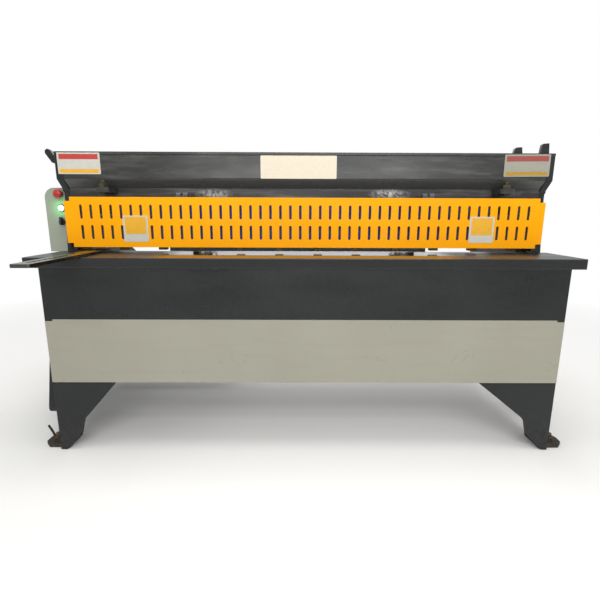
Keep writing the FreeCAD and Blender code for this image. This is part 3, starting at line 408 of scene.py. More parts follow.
# Baked powder coat on a folded box gives a flat greenish grey
BOX_GREY = painted_steel("pale_powder_coat_switch_box", "94998B", 0.40, sheen=0.4, tone=0.04,
                         dust="77736A")
# Trodden enamel by the floor shows brown dust and rust over the dark coat
FOOT = painted_steel("dusty_enamel_feet", "2B2925", 0.50, dust="6A6252", dust_share=0.6,
                     primer="5B4028", wear=0.9)
# Surface-ground mild steel gives a dull grey with lines along the arm and brown oil stains
ARM_STEEL = ground_steel("ground_steel_squaring_arm", "62655D", 0.26, "Y", stain_share=0.45)
# Ground tool steel gives a bright edge with lines along the blade
BLADE = ground_steel("ground_tool_steel_blades", "9A9C9E", 0.30, "X")
# Turned steel gives bright round highlights, stained by oil
BRIGHT = ground_steel("turned_steel_shafts", "A4A5A4", 0.32, "X", stain_share=0.45)
# Chromed zinc gives small bright rings round the buttons
SILVER = ground_steel("chromed_zinc_bezels", "C8C9C8", 0.2, "Y", stain_share=0.15)
# Yellow-passivated steel under grime looks a dull brownish gold
NUTS = grimy_steel("passivated_nuts_and_pads", "5E4C34")
# The same plating soaked in oil looks olive brown
HANGER_STEEL = grimy_steel("oily_hanger_bolts", "4C4632", rust="4A4028")
# Black oxide on steel gives dark heads with a brown tinge
BLACK_BOLT = grimy_steel("black_oxide_screws", "3C3B3A", rust_share=0.25, roughness=0.4)
# Drawn spring wire, oiled, looks dark and a little glossy
SPRING = grimy_steel("oiled_spring_steel", "4B4A49", rust_share=0.2, roughness=0.35)
# Scraped tin bronze shows warm flakes under oil
BRONZE = scraped_bronze("scraped_bronze_slides")
# Moulded nylon gives the stop button a soft red gloss
RED = moulded_plastic("red_nylon_mushroom", "B4262A", 0.32)
# Moulded clear plastic with a lamp behind it burns out to near white, green at the rim
LENS_GREEN = moulded_plastic("lit_green_lens", "6FE08A", 0.25, glow=3.2, glow_colour="B8FFC4")
# Moulded polyamide gives a matt black lever
BLACK = moulded_plastic("black_polyamide_switch", "1E211E", 0.42)
# Moulded polyamide, a shade lighter, gives the box's seam and the button collars a soft dark line
RING = moulded_plastic("dark_polyamide_rings", "343635", 0.38)
# Coated film in cream, white and greyed white gives flat satin plates, brighter than the paint
CREAM = moulded_plastic("cream_film_plate", "DCD1BC", 0.42)
WHITE_FILM = moulded_plastic("white_film_plate", "C4C2B8", 0.40)
GREY_FILM = moulded_plastic("greyed_film_plate", "97968A", 0.45)
# Coloured film gives flat bands, duller on the greyed plate
RED_FILM = moulded_plastic("red_film_band", "B63A34", 0.40)
YELLOW_FILM = moulded_plastic("yellow_film_band", "E2A81C", 0.40)
GREYED_RED_FILM = moulded_plastic("greyed_red_film_band", "95433D", 0.45)
GREYED_YELLOW_FILM = moulded_plastic("greyed_yellow_film_band", "AA841E", 0.45)

# Each solid's finish, and how far its sharp edges are eased, in mm: 0 where another piece replaces
# it or it has none
SOLIDS = {
    "right_side_frame": (DARK, 1.5), "left_side_frame": (DARK, 1.5), "foot_lugs": (FOOT, 1.5),
    "front_apron": (DARK, 0.3), "front_panel": (PANEL, 1.2), "right_front_leg": (DARK, 0.0),
    "left_front_leg": (DARK, 1.5), "work_table": (TABLE, 0.4), "table_ribs": (DARK, 1.2),
    "bed_beam": (DARK, 1.5), "lower_blade": (BLADE, 0.6), "rear_beam": (DARK, 2.0),
    "front_cross_tube": (DARK, 1.5), "ram_guides": (BRONZE, 0.8), "squaring_arm": (ARM_STEEL, 0.8),
    "guard": (ORANGE, 0.0), "guard_brackets": (DARK, 1.0), "drive_cover": (DARK, 2.0),
    "crank_cover": (DARK, 2.0), "crank_shaft": (BRIGHT, 0.0), "crank_bearings": (MOTOR_GREY, 2.5),
    "motor": (MOTOR_GREY, 0.0), "motor_shelf": (DARK, 1.2), "control_box": (BOX_GREY, 1.5),
    "control_box_post": (DARK, 2.0), "control_collars": (RING, 0.0),
    "blade_carrier": (CARRIER_DARK, 1.5), "upper_blade": (BLADE, 0.6),
    "ram_front_plate": (RAM_DARK, 2.0), "ram_top_plate": (RAM_DARK, 2.0), "ram_ribs": (DARK, 1.2),
    "right_ram_end": (DARK, 2.0), "left_ram_end": (DARK, 2.0), "right_pull_rod": (BRIGHT, 1.5),
    "left_pull_rod": (BRIGHT, 1.5), "hanger_lugs": (RAM_DARK, 1.5), "left_lifting_ear": (DARK, 2.5),
    "right_lifting_ears": (DARK, 2.5), "back_gauge_arms": (DARK, 1.5),
    "back_gauge_screws": (BRIGHT, 0.0), "back_gauge_bar": (BLADE, 1.0),
    "holddown_beam": (BLUE, 1.5), "holddown_pads": (NUTS, 1.0),
    "holddown_hangers": (HANGER_STEEL, 0.0), "emergency_stop": (RED, 0.0),
    "start_button": (LENS_GREEN, 0.0), "selector_switch": (BLACK, 0.0),
}


def soften(node, width_mm):
    """Round the sharp edges of a solid, as grinding and paint leave them."""
    if "custom_normal" in node.data.attributes:
        node.data.attributes.remove(node.data.attributes["custom_normal"])
    weld = node.modifiers.new("join_facets", "WELD")
    weld.merge_threshold = 0.005 * MM
    flat = node.modifiers.new("whole_faces", "DECIMATE")
    flat.decimate_type = "DISSOLVE"
    flat.angle_limit = math.radians(0.5)
    bevel = node.modifiers.new("eased_edges", "BEVEL")
    bevel.width = width_mm * MM
    bevel.segments = 2
    bevel.limit_method = "ANGLE"
    bevel.angle_limit = math.radians(35.0)
    bevel.harden_normals = True


for node_name, (solid_finish, eased_mm) in SOLIDS.items():
    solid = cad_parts[node_name]
    solid.data.materials.clear()
    solid.data.materials.append(solid_finish)
    if eased_mm:
        soften(solid, eased_mm)


def placed(name, data):
    """Put a new mesh, lamp or camera in the scene under its name."""
    thing = bpy.data.objects.new(name, data)
    bpy.context.scene.collection.objects.link(thing)
    return thing


def finish_piece(name, mesh, finishes, body, smooth=35.0):
    """Put a mesh in the scene with its finish or finishes, riding on its body."""
    piece = placed(name, mesh)
    for finish in finishes if isinstance(finishes, list) else [finishes]:
        mesh.materials.append(finish)
    mesh.shade_smooth()
    mesh.set_sharp_from_angle(angle=math.radians(smooth))
    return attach(piece, body)


def from_bmesh(name, bm, finishes, body, smooth=35.0):
    """Close a bmesh into a named piece."""
    bmesh.ops.recalc_face_normals(bm, faces=bm.faces)
    mesh = bpy.data.meshes.new(name)
    bm.to_mesh(mesh)
    bm.free()
    return finish_piece(name, mesh, finishes, body, smooth)


def skinned(bm, loops, ends=True):
    """Skin loops of points one after another. Without ends, the last loop joins the first again."""
    rings = [[bm.verts.new(point) for point in loop] for loop in loops]
    for lower, upper in zip(rings, rings[1:] if ends else rings[1:] + rings[:1]):
        count = max(len(lower), len(upper))
        for step in range(count):
            after = (step + 1) % count
            corners = dict.fromkeys((lower[step % len(lower)], lower[after % len(lower)],
                                     upper[after % len(upper)], upper[step % len(upper)]))
            bm.faces.new(list(corners))
    if ends:
        for ring in (rings[0], rings[-1]):
            if len(ring) > 2:
                bm.faces.new(ring)


def turned(bm, profile, place, axis, segments=32, phase=0.0, ring=False):
    """Turn a profile of (radius, height) in mm round an axis. A radius of 0 ends it in a point.

    The profile of a ring closes on itself, and the ring's middle is open.
    """
    matrix = Matrix.Translation(place) @ Vector(axis).to_track_quat("Z", "Y").to_matrix().to_4x4()
    loops = []
    for radius, height in profile:
        count = segments if radius else 1
        turns = [TURN * step / count + phase for step in range(count)]
        around = [(radius * math.cos(turn), radius * math.sin(turn), height) for turn in turns]
        loops.append([matrix @ (Vector(point) * MM) for point in around])
    skinned(bm, loops, ends=not ring)


def block(bm, low, high, bevel):
    """A block between two corners, its edges bevelled."""
    low, high = Vector(low), Vector(high)
    made = bmesh.ops.create_cube(bm, size=1.0, matrix=Matrix.Translation((low + high) / 2.0)
                                 @ Matrix.Diagonal((high - low).to_4d()))
    edges = list({edge for vert in made["verts"] for edge in vert.link_edges})
    bmesh.ops.bevel(bm, geom=edges, offset=bevel, segments=2, affect="EDGES", profile=0.5)


def hex_head(bm, place, axis, across, height, phase=0.0):
    """A hexagon head or nut with its chamfered crown, standing on place along axis."""
    corner = across / math.sqrt(3.0)
    turned(bm, [(corner, 0.0), (corner, height * 0.84), (corner * 0.90, height)],
           place, axis, 6, phase)


def washer(bm, place, axis, outer, thick):
    """A plain washer with an eased rim, drawn closed because its bolt fills it."""
    radius = outer / 2.0
    turned(bm, [(radius, 0.0), (radius, thick * 0.75), (radius - 0.4, thick)], place, axis, 24)


def hex_bolt(bm, place, axis, thread_size, phase=0.0):
    """A hexagon bolt head on its washer, for a thread size."""
    thick = thread_size * 0.2
    washer(bm, place, axis, thread_size * 2.1, thick)
    hex_head(bm, Vector(place) + Vector(axis) * thick * MM, axis, thread_size * 1.6,
             thread_size * 0.65, phase)


def socket_screw(bm, place, axis, head, height):
    """A socket cap screw head with its recess."""
    radius = head / 2.0
    turned(bm, [(radius, 0.0), (radius, height * 0.86), (radius * 0.93, height),
                (radius * 0.52, height), (radius * 0.50, height * 0.45), (0.0, height * 0.42)],
           place, axis, 24)


def pan_screw(bm, place, axis, head):
    """A low pan-head screw."""
    profile = ((1.0, 0.0), (0.96, 0.25), (0.7, 0.5), (0.25, 0.58), (0.2, 0.35), (0.0, 0.33))
    turned(bm, [(head / 2.0 * across, head / 2.0 * up) for across, up in profile], place, axis, 20)


def thread(first, last, pitch, one_turn):
    """Profile of a screw thread: the points of one turn, repeated from first to last."""
    points = []
    while first < last:
        points += [(radius, first + rise) for radius, rise in one_turn]
        first += pitch
    return points


def swept(bm, path, radius, segments=10):
    """A round bar or weld bead along a list of points, closed at both ends."""
    points = [Vector(p) for p in path]
    turns = [TURN * step / segments for step in range(segments)]
    loops = []
    side = None
    for number, point in enumerate(points):
        ahead = points[min(number + 1, len(points) - 1)] - points[max(number - 1, 0)]
        ahead.normalize()
        if side is None:
            side = ahead.orthogonal().normalized()
        side = (side - ahead * side.dot(ahead)).normalized()
        up = ahead.cross(side)
        loops.append([point + (side * math.cos(turn) + up * math.sin(turn)) * radius
                      for turn in turns])
    skinned(bm, loops)


def weld_bead(bm, start, end, size_mm, chance):
    """A fillet weld between two points, with a ripple about every 6 mm."""
    start, end = Vector(start), Vector(end)
    steps = max(2, int((end - start).length / (6.0 * MM)))
    side = (end - start).orthogonal().normalized()
    path = []
    for step in range(steps + 1):
        wander = side * (chance.random() - 0.5) * size_mm * MM * 0.2
        path.append(start.lerp(end, step / steps) + wander)
    swept(bm, path, size_mm * MM * 0.5, 6)


def arc(x, z, radius, start, sweep, steps):
    """Points on an arc round (x, z), from start on over sweep, both in half turns."""
    turns = [math.pi * (start + sweep * step / steps) for step in range(steps + 1)]
    return [(x + radius * math.cos(turn), z + radius * math.sin(turn)) for turn in turns]


def eased_corners(points, radii):
    """The outline with each corner drawn as a short curve of its own radius."""
    curve = []
    for number, (point, radius) in enumerate(zip(points, radii)):
        corner = Vector(point)
        start = corner + (Vector(points[number - 1]) - corner).normalized() * radius
        end = corner + (Vector(points[(number + 1) % len(points)]) - corner).normalized() * radius
        for step in range(6):
            share = step / 5.0
            curve.append(start.lerp(corner, share).lerp(corner.lerp(end, share), share))
    return curve


def cut_plate(name, outlines, thickness, edge):
    """A flat plate in X and Z from closed outlines, the first outside and the rest holes."""
    curve = bpy.data.curves.new(name, "CURVE")
    curve.dimensions = "2D"
    curve.fill_mode = "BOTH"
    curve.extrude = thickness / 2.0 - edge
    curve.bevel_depth = edge
    curve.bevel_resolution = 1
    curve.offset = -edge
    for outline in outlines:
        spline = curve.splines.new("POLY")
        spline.points.add(len(outline) - 1)
        for point, (x, z) in zip(spline.points, outline):
            point.co = (x, z, 0.0, 1.0)
        spline.use_cyclic_u = True
    holder = bpy.data.objects.new(name + "_outline", curve)
    mesh = bpy.data.meshes.new_from_object(holder)
    bpy.data.objects.remove(holder)
    mesh.transform(Matrix.Rotation(math.radians(90.0), 4, "X"))
    mesh.materials.clear()
    return mesh


def guard_tray():
    """Orange guard: folded sheet with relieved corners and two rows of round-ended slots."""
    low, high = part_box("guard")
    notch_x, notch_z = GUARD_NOTCH
    left, right, bottom, top = low.x + notch_x, high.x - notch_x, low.z + notch_z, high.z - notch_z
    outer = [(left, low.z), (right, low.z), (right, bottom), (high.x, bottom), (high.x, top),
             (right, top), (right, high.z), (left, high.z), (left, top), (low.x, top),
             (low.x, bottom), (left, bottom)]
    first = low.x + SLOT_END_MARGIN
    pitch = (high.x - low.x - 2.0 * SLOT_END_MARGIN) / (SLOTS_IN_ROW - 1)
    radius = SLOT_WIDTH / 2.0
    holes = []
    for number in range(SLOTS_IN_ROW):
        x = first + pitch * number
        for row in (0, 1):
            slot_low = low.z + SLOT_ROW_LOW + row * SLOT_ROW_STEP
            holes.append(arc(x, slot_low + SLOT_HEIGHT - radius, radius, 0.0, 1.0, 6)
                         + arc(x, slot_low + radius, radius, 1.0, 1.0, 6))
    mesh = cut_plate("guard_sheet", [outer] + holes, GUARD_SHEET, 0.7 * MM)
    mesh.transform(Matrix.Translation((0.0, low.y + GUARD_SHEET / 2.0, 0.0)))
    bm = bmesh.new()
    bm.from_mesh(mesh)
    # Lips folded back along the four edges
    ease = 0.6 * MM
    fold = low.y + GUARD_SHEET - ease
    for z in (low.z, high.z - GUARD_SHEET):
        block(bm, (left, fold, z), (right, high.y, z + GUARD_SHEET), ease)
    for x in (low.x, high.x - GUARD_SHEET):
        block(bm, (x, fold, bottom), (x + GUARD_SHEET, high.y, top), ease)
    tray = from_bmesh("guard_tray", bm, ORANGE, "frame", 30.0)
    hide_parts("guard")


def hanger_bolts():
    """Hanger bolts of the hold-down bar: threaded rod, washer and nut."""
    beam_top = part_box("holddown_beam")[1].z
    nut_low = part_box("hanger_lugs")[1].z + 0.3 * MM
    low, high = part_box("holddown_hangers")
    y = (low.y + high.y) / 2.0
    length = (high.z - beam_top) / MM
    rod = thread(5.0, length - 4.0, 2.5, ((11.0, 0.0), (10.1, 1.2)))
    rod = [(11.0, 3.0)] + rod + [(9.4, length)]
    bm = bmesh.new()
    for number, x in enumerate(HANGERS):
        washer(bm, (x, y, beam_top), UP, 42.0, 3.0)
        turned(bm, rod, (x, y, beam_top), UP, 20)
        hex_head(bm, (x, y, nut_low), UP, 32.0, 17.0, 0.35 * number)
    bolts = from_bmesh("hanger_bolts", bm, HANGER_STEEL, "holddown")
    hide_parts("holddown_hangers")


def holddown_stiffener():
    """Upright flange on the hold-down bar's front edge, which the guard's upper slots show."""
    low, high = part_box("holddown_beam")
    bar_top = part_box("holddown_hangers")[0].z
    hanger_room, tall, thick, sunk = 34.0 * MM, 44.0 * MM, 6.0 * MM, 2.0 * MM
    inner, outer = HANGERS[1] - hanger_room, HANGERS[1] + hanger_room
    bm = bmesh.new()
    for x0, x1 in ((low.x, -outer), (-inner, inner), (outer, high.x)):
        block(bm, (x0, low.y, bar_top - sunk), (x1, low.y + thick, bar_top + tall), 1.0 * MM)
    flange = from_bmesh("holddown_stiffener", bm, BLUE, "holddown")


def hanger_springs():
    """Coil springs round the hangers, from the hold-down bar up to the lugs."""
    beam_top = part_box("holddown_beam")[1].z
    low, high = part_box("holddown_hangers")
    y = (low.y + high.y) / 2.0
    radius = (SPRING_COIL - SPRING_WIRE) / 2.0
    bottom = beam_top + 3.0 * MM + SPRING_WIRE / 2.0
    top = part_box("hanger_lugs")[0].z - SPRING_WIRE / 2.0
    steps = SPRING_TURNS * 20
    for number, x in enumerate(HANGERS):
        path = []
        for step in range(steps + 1):
            wound = SPRING_TURNS * step / steps
            # The end turns lie flat and are ground square
            rise = min(1.0, max(0.0, (wound - 0.8) / (SPRING_TURNS - 1.6)))
            path.append((x + radius * math.cos(TURN * wound), y + radius * math.sin(TURN * wound),
                         bottom + (top - bottom) * rise))
        bm = bmesh.new()
        swept(bm, path, SPRING_WIRE / 2.0, 8)
        spring = from_bmesh("hanger_spring_%d" % (number + 1), bm, SPRING, "holddown", 60.0)
        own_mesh(spring)


def button_form(node):
    """Front middle of a button in the stop's column, and its radius and depth in mm."""
    column_low, column_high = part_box("emergency_stop")
    low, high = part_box(node)
    front = Vector(((column_low.x + column_high.x) / 2.0, low.y, (low.z + high.z) / 2.0))
    return front, (high.x - low.x) / 2.0 / MM, (high.y - low.y) / MM


def switch_box_controls():
    """Mushroom stop, lit start button and selector, each a turned form with its bezel."""
    stop_front, radius, depth = button_form("emergency_stop")
    bm = bmesh.new()
    turned(bm, [(0.0, 0.0), (radius * 0.30, 0.3), (radius * 0.58, 1.5), (radius * 0.80, 4.0),
                (radius * 0.94, 7.4), (radius, 10.6), (radius * 0.985, 14.0), (radius * 0.92, 17.0),
                (radius * 0.60, 17.5), (11.0, 17.6), (10.6, depth - 0.2)], stop_front, BACK, 40)
    stop = from_bmesh("stop_mushroom", bm, RED, "stop_button", 50.0)
    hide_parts("emergency_stop")

    start_front, radius, depth = button_form("start_button")
    bm = bmesh.new()
    turned(bm, [(0.0, 0.0), (radius * 0.55, 0.25), (radius * 0.86, 0.9), (radius * 0.97, 1.9),
                (radius, 3.2), (radius, depth)], start_front, BACK, 36)
    start = from_bmesh("start_lens", bm, LENS_GREEN, "start_button_cap", 50.0)
    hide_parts("start_button")

    # The selector's disc sits 4 mm below its middle, because the lever reaches further up
    knob_front, radius, depth = button_form("selector_switch")
    knob_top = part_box("selector_switch")[1].z
    knob_front.z -= 4.0 * MM
    x, y, z = knob_front
    bm = bmesh.new()
    turned(bm, [(radius * 0.95, depth - 9.7), (radius, depth - 8.9), (radius, depth)],
           knob_front, BACK, 36)
    block(bm, (x - 4.6 * MM, y, z - 12.5 * MM), (x + 4.6 * MM, y + 14.2 * MM, knob_top), 2.2 * MM)
    block(bm, (x - 0.9 * MM, y, z + 5.0 * MM), (x + 0.9 * MM, y + 2.0 * MM, knob_top - 1.5 * MM),
          0.3 * MM)
    knob = from_bmesh("selector_knob", bm, BLACK, "selector_knob", 40.0)
    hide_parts("selector_switch")

    box_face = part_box("control_box")[0].y
    bm = bmesh.new()
    for front, hole, outside in ((stop_front, 22.0, 32.0), (start_front, 24.0, 34.0),
                                 (knob_front, 29.0, 41.0)):
        inner, outer = hole / 2.0 + 0.5, outside / 2.0
        turned(bm, [(inner, 0.6), (inner + 0.9, 0.0), (outer - 1.8, 0.4), (outer - 0.3, 2.6),
                    (outer, 3.4), (outer, 6.0), (inner, 6.0)],
               (front.x, box_face - 6.0 * MM, front.z), BACK, 36, ring=True)
    rings = from_bmesh("control_bezels", bm, SILVER, "frame", 40.0)
    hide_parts("control_collars")


def film_plate(name, edges, y, finish, body, bands=(), slant=0.0, thick_mm=0.8):
    """A stuck-on film plate with rounded corners, and plain coloured bands on it."""
    left, right, low, high = edges
    tall, margin = high - low, 8.0 * MM
    # Each layer: colour, left, right, bottom, top, corner radius, front and back over the face
    layers = [(finish, left, right, low, high, 4.0 * MM, thick_mm * MM, 0.0)]
    for low_share, high_share, colour in bands:
        layers.append((colour, left + margin, right - margin, low + tall * low_share,
                       low + tall * high_share, 1.0 * MM, (thick_mm + 0.3) * MM, thick_mm * MM))
    finishes = list(dict.fromkeys(layer[0] for layer in layers))
    bm = bmesh.new()
    for colour, x0, x1, z0, z1, corner, front, back in layers:
        count = len(bm.faces)
        outline = []
        for x, z, start in ((x1 - corner, z1 - corner, 0.0), (x0 + corner, z1 - corner, 0.5),
                            (x0 + corner, z0 + corner, 1.0), (x1 - corner, z0 + corner, 1.5)):
            outline += arc(x, z, corner, start, 0.5, 4)
        skinned(bm, [[(x, y - proud, z) for x, z in outline] for proud in (front, back)])
        bm.faces.ensure_lookup_table()
        for face in bm.faces[count:]:
            face.material_index = finishes.index(colour)
    if slant:
        middle = Vector(((left + right) / 2.0, y, (low + high) / 2.0))
        bmesh.ops.rotate(bm, verts=bm.verts, cent=middle, matrix=Matrix.Rotation(slant, 3, "Y"))
    from_bmesh(name, bm, finishes, body, 30.0)


def blank_plates():
    """Blank film plates on the ram's face and the guard."""
    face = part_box("ram_front_plate")[0].y
    film_plate("middle_blank_plate", MIDDLE_PLATE, face, CREAM, "ram")
    # The two end plates are thick enough to lap over the edge of the top flange
    film_plate("left_blank_plate", LEFT_PLATE, face, WHITE_FILM, "ram",
               ((0.69, 0.93, RED_FILM), (0.06, 0.23, YELLOW_FILM)), thick_mm=2.8)
    film_plate("right_blank_plate", RIGHT_PLATE, face, GREY_FILM, "ram",
               ((0.69, 0.93, GREYED_RED_FILM), (0.06, 0.22, GREYED_YELLOW_FILM)),
               slant=math.radians(-0.6), thick_mm=2.8)
    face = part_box("guard")[0].y
    for name, edges in (("guard_left_blank_plate", LEFT_GUARD_PLATE),
                        ("guard_right_blank_plate", RIGHT_GUARD_PLATE)):
        film_plate(name, edges, face, WHITE_FILM, "frame", ((0.30, 0.95, YELLOW_FILM),))


def right_leg_plate():
    """Right front leg: its gusset runs further in under the panel than the left one's does."""
    low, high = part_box("right_front_leg")
    outline = [(high.x, high.z), (high.x, low.z), (high.x - LEG_TOE, low.z),
               (high.x - LEG_ANKLE[0], low.z + LEG_ANKLE[1]),
               (high.x - LEG_KNEE[0], low.z + LEG_KNEE[1]), (low.x - RIGHT_GUSSET_REACH, high.z)]
    radii = [1.0 * MM, 2.0 * MM, 8.0 * MM, 8.0 * MM, 22.0 * MM, 1.0 * MM]
    mesh = cut_plate("right_leg_plate", [eased_corners(outline, radii)], high.y - low.y, 1.5 * MM)
    mesh.transform(Matrix.Translation((0.0, (low.y + high.y) / 2.0, 0.0)))
    leg = finish_piece("right_leg_plate", mesh, DARK, "frame")
    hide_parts("right_front_leg")


def side_sheet(bm, outline, x0, x1):
    """A flat sheet drawn in Y and Z, from x0 to x1."""
    skinned(bm, [[(x, y, z) for y, z in outline] for x in (x0, x1)])


def louvre(bm, face_x, y0, y1, top_z):
    """One pressed louvre hood on the drive cover's door, open downwards."""
    slope, proud, tall = 6.0 * MM, 6.0 * MM, 11.0 * MM
    root = face_x + 0.5 * MM
    sections = []
    for y, share in ((y0, 0.0), (y0 + slope, 1.0), (y1 - slope, 1.0), (y1, 0.0)):
        out = face_x - 0.2 * MM - proud * share
        sections.append([(root, y, top_z), (out, y, top_z - tall * 0.62), (out, y, top_z - tall),
                         (root, y, top_z - tall)])
    skinned(bm, sections)


def drive_cover_door():
    """Access door of the drive cover, screwed on, with louvres that let out the belts' heat."""
    low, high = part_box("drive_cover")
    margin, sheet, lean, corner = 45.0 * MM, 1.5 * MM, 110.0 * MM, 95.0 * MM
    front, back = low.y + margin * 1.6, high.y - margin
    bottom, top = low.z + margin, high.z - margin
    face = low.x - sheet
    outline = [(front, bottom), (back, bottom), (back, top), (front + lean, top)]
    bm = bmesh.new()
    side_sheet(bm, eased_corners(outline, [corner] * 4), face, low.x + 0.3 * MM)
    for number in range(5):
        louvre(bm, face, 0.02, 0.20, bottom + 0.150 - number * 0.022)
    from_bmesh("drive_cover_door", bm, DARK, "frame")
    # Eight screws just inside the door's edge, clear of its corners
    inset, clear = 14.0 * MM, 100.0 * MM
    middle_y, middle_z = (front + back) / 2.0, (bottom + top) / 2.0
    bm = bmesh.new()
    for y, z in ((front + clear, bottom + inset), (middle_y, bottom + inset),
                 (back - clear, bottom + inset), (back - inset, middle_z),
                 (back - clear, top - inset), (middle_y, top - inset),
                 (front + lean + clear, top - inset), (front + lean * 0.5 + inset, middle_z)):
        pan_screw(bm, (face, y, z), LEFT, 10.0)
    from_bmesh("drive_cover_door_screws", bm, BLACK_BOLT, "frame")


def crank_cover_lid():
    """Lid on the outer face of the crank cover, held by eight screws."""
    low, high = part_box("crank_cover")
    middle = (low + high) / 2.0
    margin, corner, inset, sheet = 20.0 * MM, 22.0 * MM, 34.0 * MM, 1.5 * MM
    outline = [(low.y + margin, low.z + margin), (high.y - margin, low.z + margin),
               (high.y - margin, high.z - margin), (low.y + margin, high.z - margin)]
    bm = bmesh.new()
    side_sheet(bm, eased_corners(outline, [corner] * 4), high.x - 0.3 * MM, high.x + sheet)
    from_bmesh("crank_cover_lid", bm, DARK, "frame")
    bm = bmesh.new()
    for y in (low.y + inset, middle.y, high.y - inset):
        for z in (low.z + inset, middle.z, high.z - inset):
            if (y, z) != (middle.y, middle.z):
                pan_screw(bm, (high.x + sheet, y, z), RIGHT, 10.0)
    from_bmesh("crank_cover_lid_screws", bm, BLACK_BOLT, "frame")


def motor_dress():
    """Motor: cooling ribs round the barrel, cowl grille, terminal lid, and all its bolts."""
    low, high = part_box("motor")
    foot, cowl_long, whole_long = 20.0 * MM, 70.0 * MM, 330.0 * MM
    radius = (high.y - low.y) / 2.0
    axis_y, axis_z = (low.y + high.y) / 2.0, low.z + foot + radius
    cowl_x, nose_x = high.x - cowl_long, high.x - whole_long
    middle_x = (high.x + nose_x) / 2.0
    bm = bmesh.new()
    ribs, thick, proud, sunk = 40, 2.6 * MM, 5.5 * MM, 1.0 * MM
    length = cowl_x - nose_x - 22.0 * MM
    for number in range(ribs):
        turn = TURN * (number + 0.5) / ribs
        # No ribs where the foot and the terminal box sit
        if not -0.70 <= math.cos(turn) <= 0.86:
            continue
        matrix = (Matrix.Translation(((cowl_x + nose_x) / 2.0, axis_y, axis_z))
                  @ Matrix.Rotation(turn, 4, "X")
                  @ Matrix.Translation((0.0, 0.0, radius + (proud - sunk) / 2.0))
                  @ Matrix.Diagonal((length, thick, proud + sunk, 1.0)))
        bmesh.ops.create_cube(bm, size=1.0, matrix=matrix)
    # Rolled lip of the fan cowl and its grille of rings and bars
    turned(bm, [(95.5, 0.0), (98.0, 0.0), (98.0, 6.0), (95.5, 6.0)],
           (cowl_x + 1.0 * MM, axis_y, axis_z), RIGHT, 48, ring=True)
    cowl_end = (high.x, axis_y, axis_z)
    for number in range(6):
        wire = 24.0 + 13.0 * number
        turned(bm, [(wire - 1.5, -0.5), (wire + 1.5, -0.5), (wire + 1.0, 2.0), (wire - 1.0, 2.0)],
               cowl_end, RIGHT, 40, ring=True)
    turned(bm, [(12.0, -0.5), (12.0, 2.0), (9.0, 3.0)], cowl_end, RIGHT, 24)
    for number in range(6):
        turn = TURN * number / 6.0
        swept(bm, [(high.x + 0.8 * MM, axis_y + out * math.sin(turn), axis_z + out * math.cos(turn))
                   for out in (10.0 * MM, 90.0 * MM)], 1.6 * MM, 6)
    lid_top = axis_z + radius + 49.0 * MM
    block(bm, (middle_x - 53.0 * MM, axis_y - 48.0 * MM, lid_top - 5.0 * MM),
          (middle_x + 53.0 * MM, axis_y + 48.0 * MM, lid_top), 1.5 * MM)
    from_bmesh("motor_ribs_and_grille", bm, MOTOR_GREY, "frame")
    bm = bmesh.new()
    bolt_circle = 88.0 * MM
    for number in range(4):
        turn = TURN * (0.5 + number) / 4.0
        hex_bolt(bm, (nose_x, axis_y + bolt_circle * math.sin(turn),
                      axis_z + bolt_circle * math.cos(turn)), LEFT, 8.0, 0.3 * number)
    for way in SIDES:
        for side in SIDES:
            x = middle_x + way * 70.0 * MM
            hex_bolt(bm, (x, axis_y + side * 80.0 * MM, low.z + 14.0 * MM), UP, 12.0, 9.0 * x)
            pan_screw(bm, (middle_x + way * 43.0 * MM, axis_y + side * 38.0 * MM, lid_top), UP, 8.0)
    from_bmesh("motor_bolts", bm, BLACK_BOLT, "frame")


def gauge_spindles():
    """Back gauge screws: threaded spindles, each with a turned handwheel, hub, spokes and knob."""
    low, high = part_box("back_gauge_screws")
    wheel, rim = 48.0, 5.5
    y, z = high.y - 16.5 * MM, (low.z + high.z) / 2.0
    # A trapezoidal thread of 5 mm pitch, with the plain neck behind its last crest
    rod = [(12.0, 0.0)] + thread(2.0, (y - low.y) / MM - 14.0, 5.0,
                                 ((12.0, 0.0), (10.6, 1.2), (10.6, 2.5), (12.0, 3.7)))
    rod += [(9.0, rod[-1][1] + 1.3), (9.0, (high.y - low.y) / MM)]
    bm = bmesh.new()
    for side in SIDES:
        x = side * (high.x - wheel * MM)
        turned(bm, rod, (x, low.y, z), BACK, 16)
        turned(bm, arc(wheel - rim, 0.0, rim, 0.0, 1.8, 9), (x, y, z), BACK, 40, ring=True)
        turned(bm, [(10.0, -9.0), (15.0, -8.0), (16.0, 5.0), (12.0, 7.0)], (x, y, z), BACK, 28)
        for number in range(3):
            turn = TURN * number / 3.0 + 0.5
            swept(bm, [(x + out * math.cos(turn) * MM, y - bow * MM, z + out * math.sin(turn) * MM)
                       for out, bow in ((12.0, 3.0), (26.0, 1.0), (41.0, 0.0))], 4.0 * MM, 10)
        knob_out, knob_turn = (wheel - rim) * MM, 1.6
        turned(bm, [(3.5, 0.0), (3.5, 4.0), (6.0, 6.0), (7.0, 11.0), (5.0, 16.0)],
               (x + knob_out * math.cos(knob_turn), y, z + knob_out * math.sin(knob_turn)), BACK, 20)
    spindles = from_bmesh("gauge_spindles", bm, BRIGHT, "ram")
    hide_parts("back_gauge_screws")


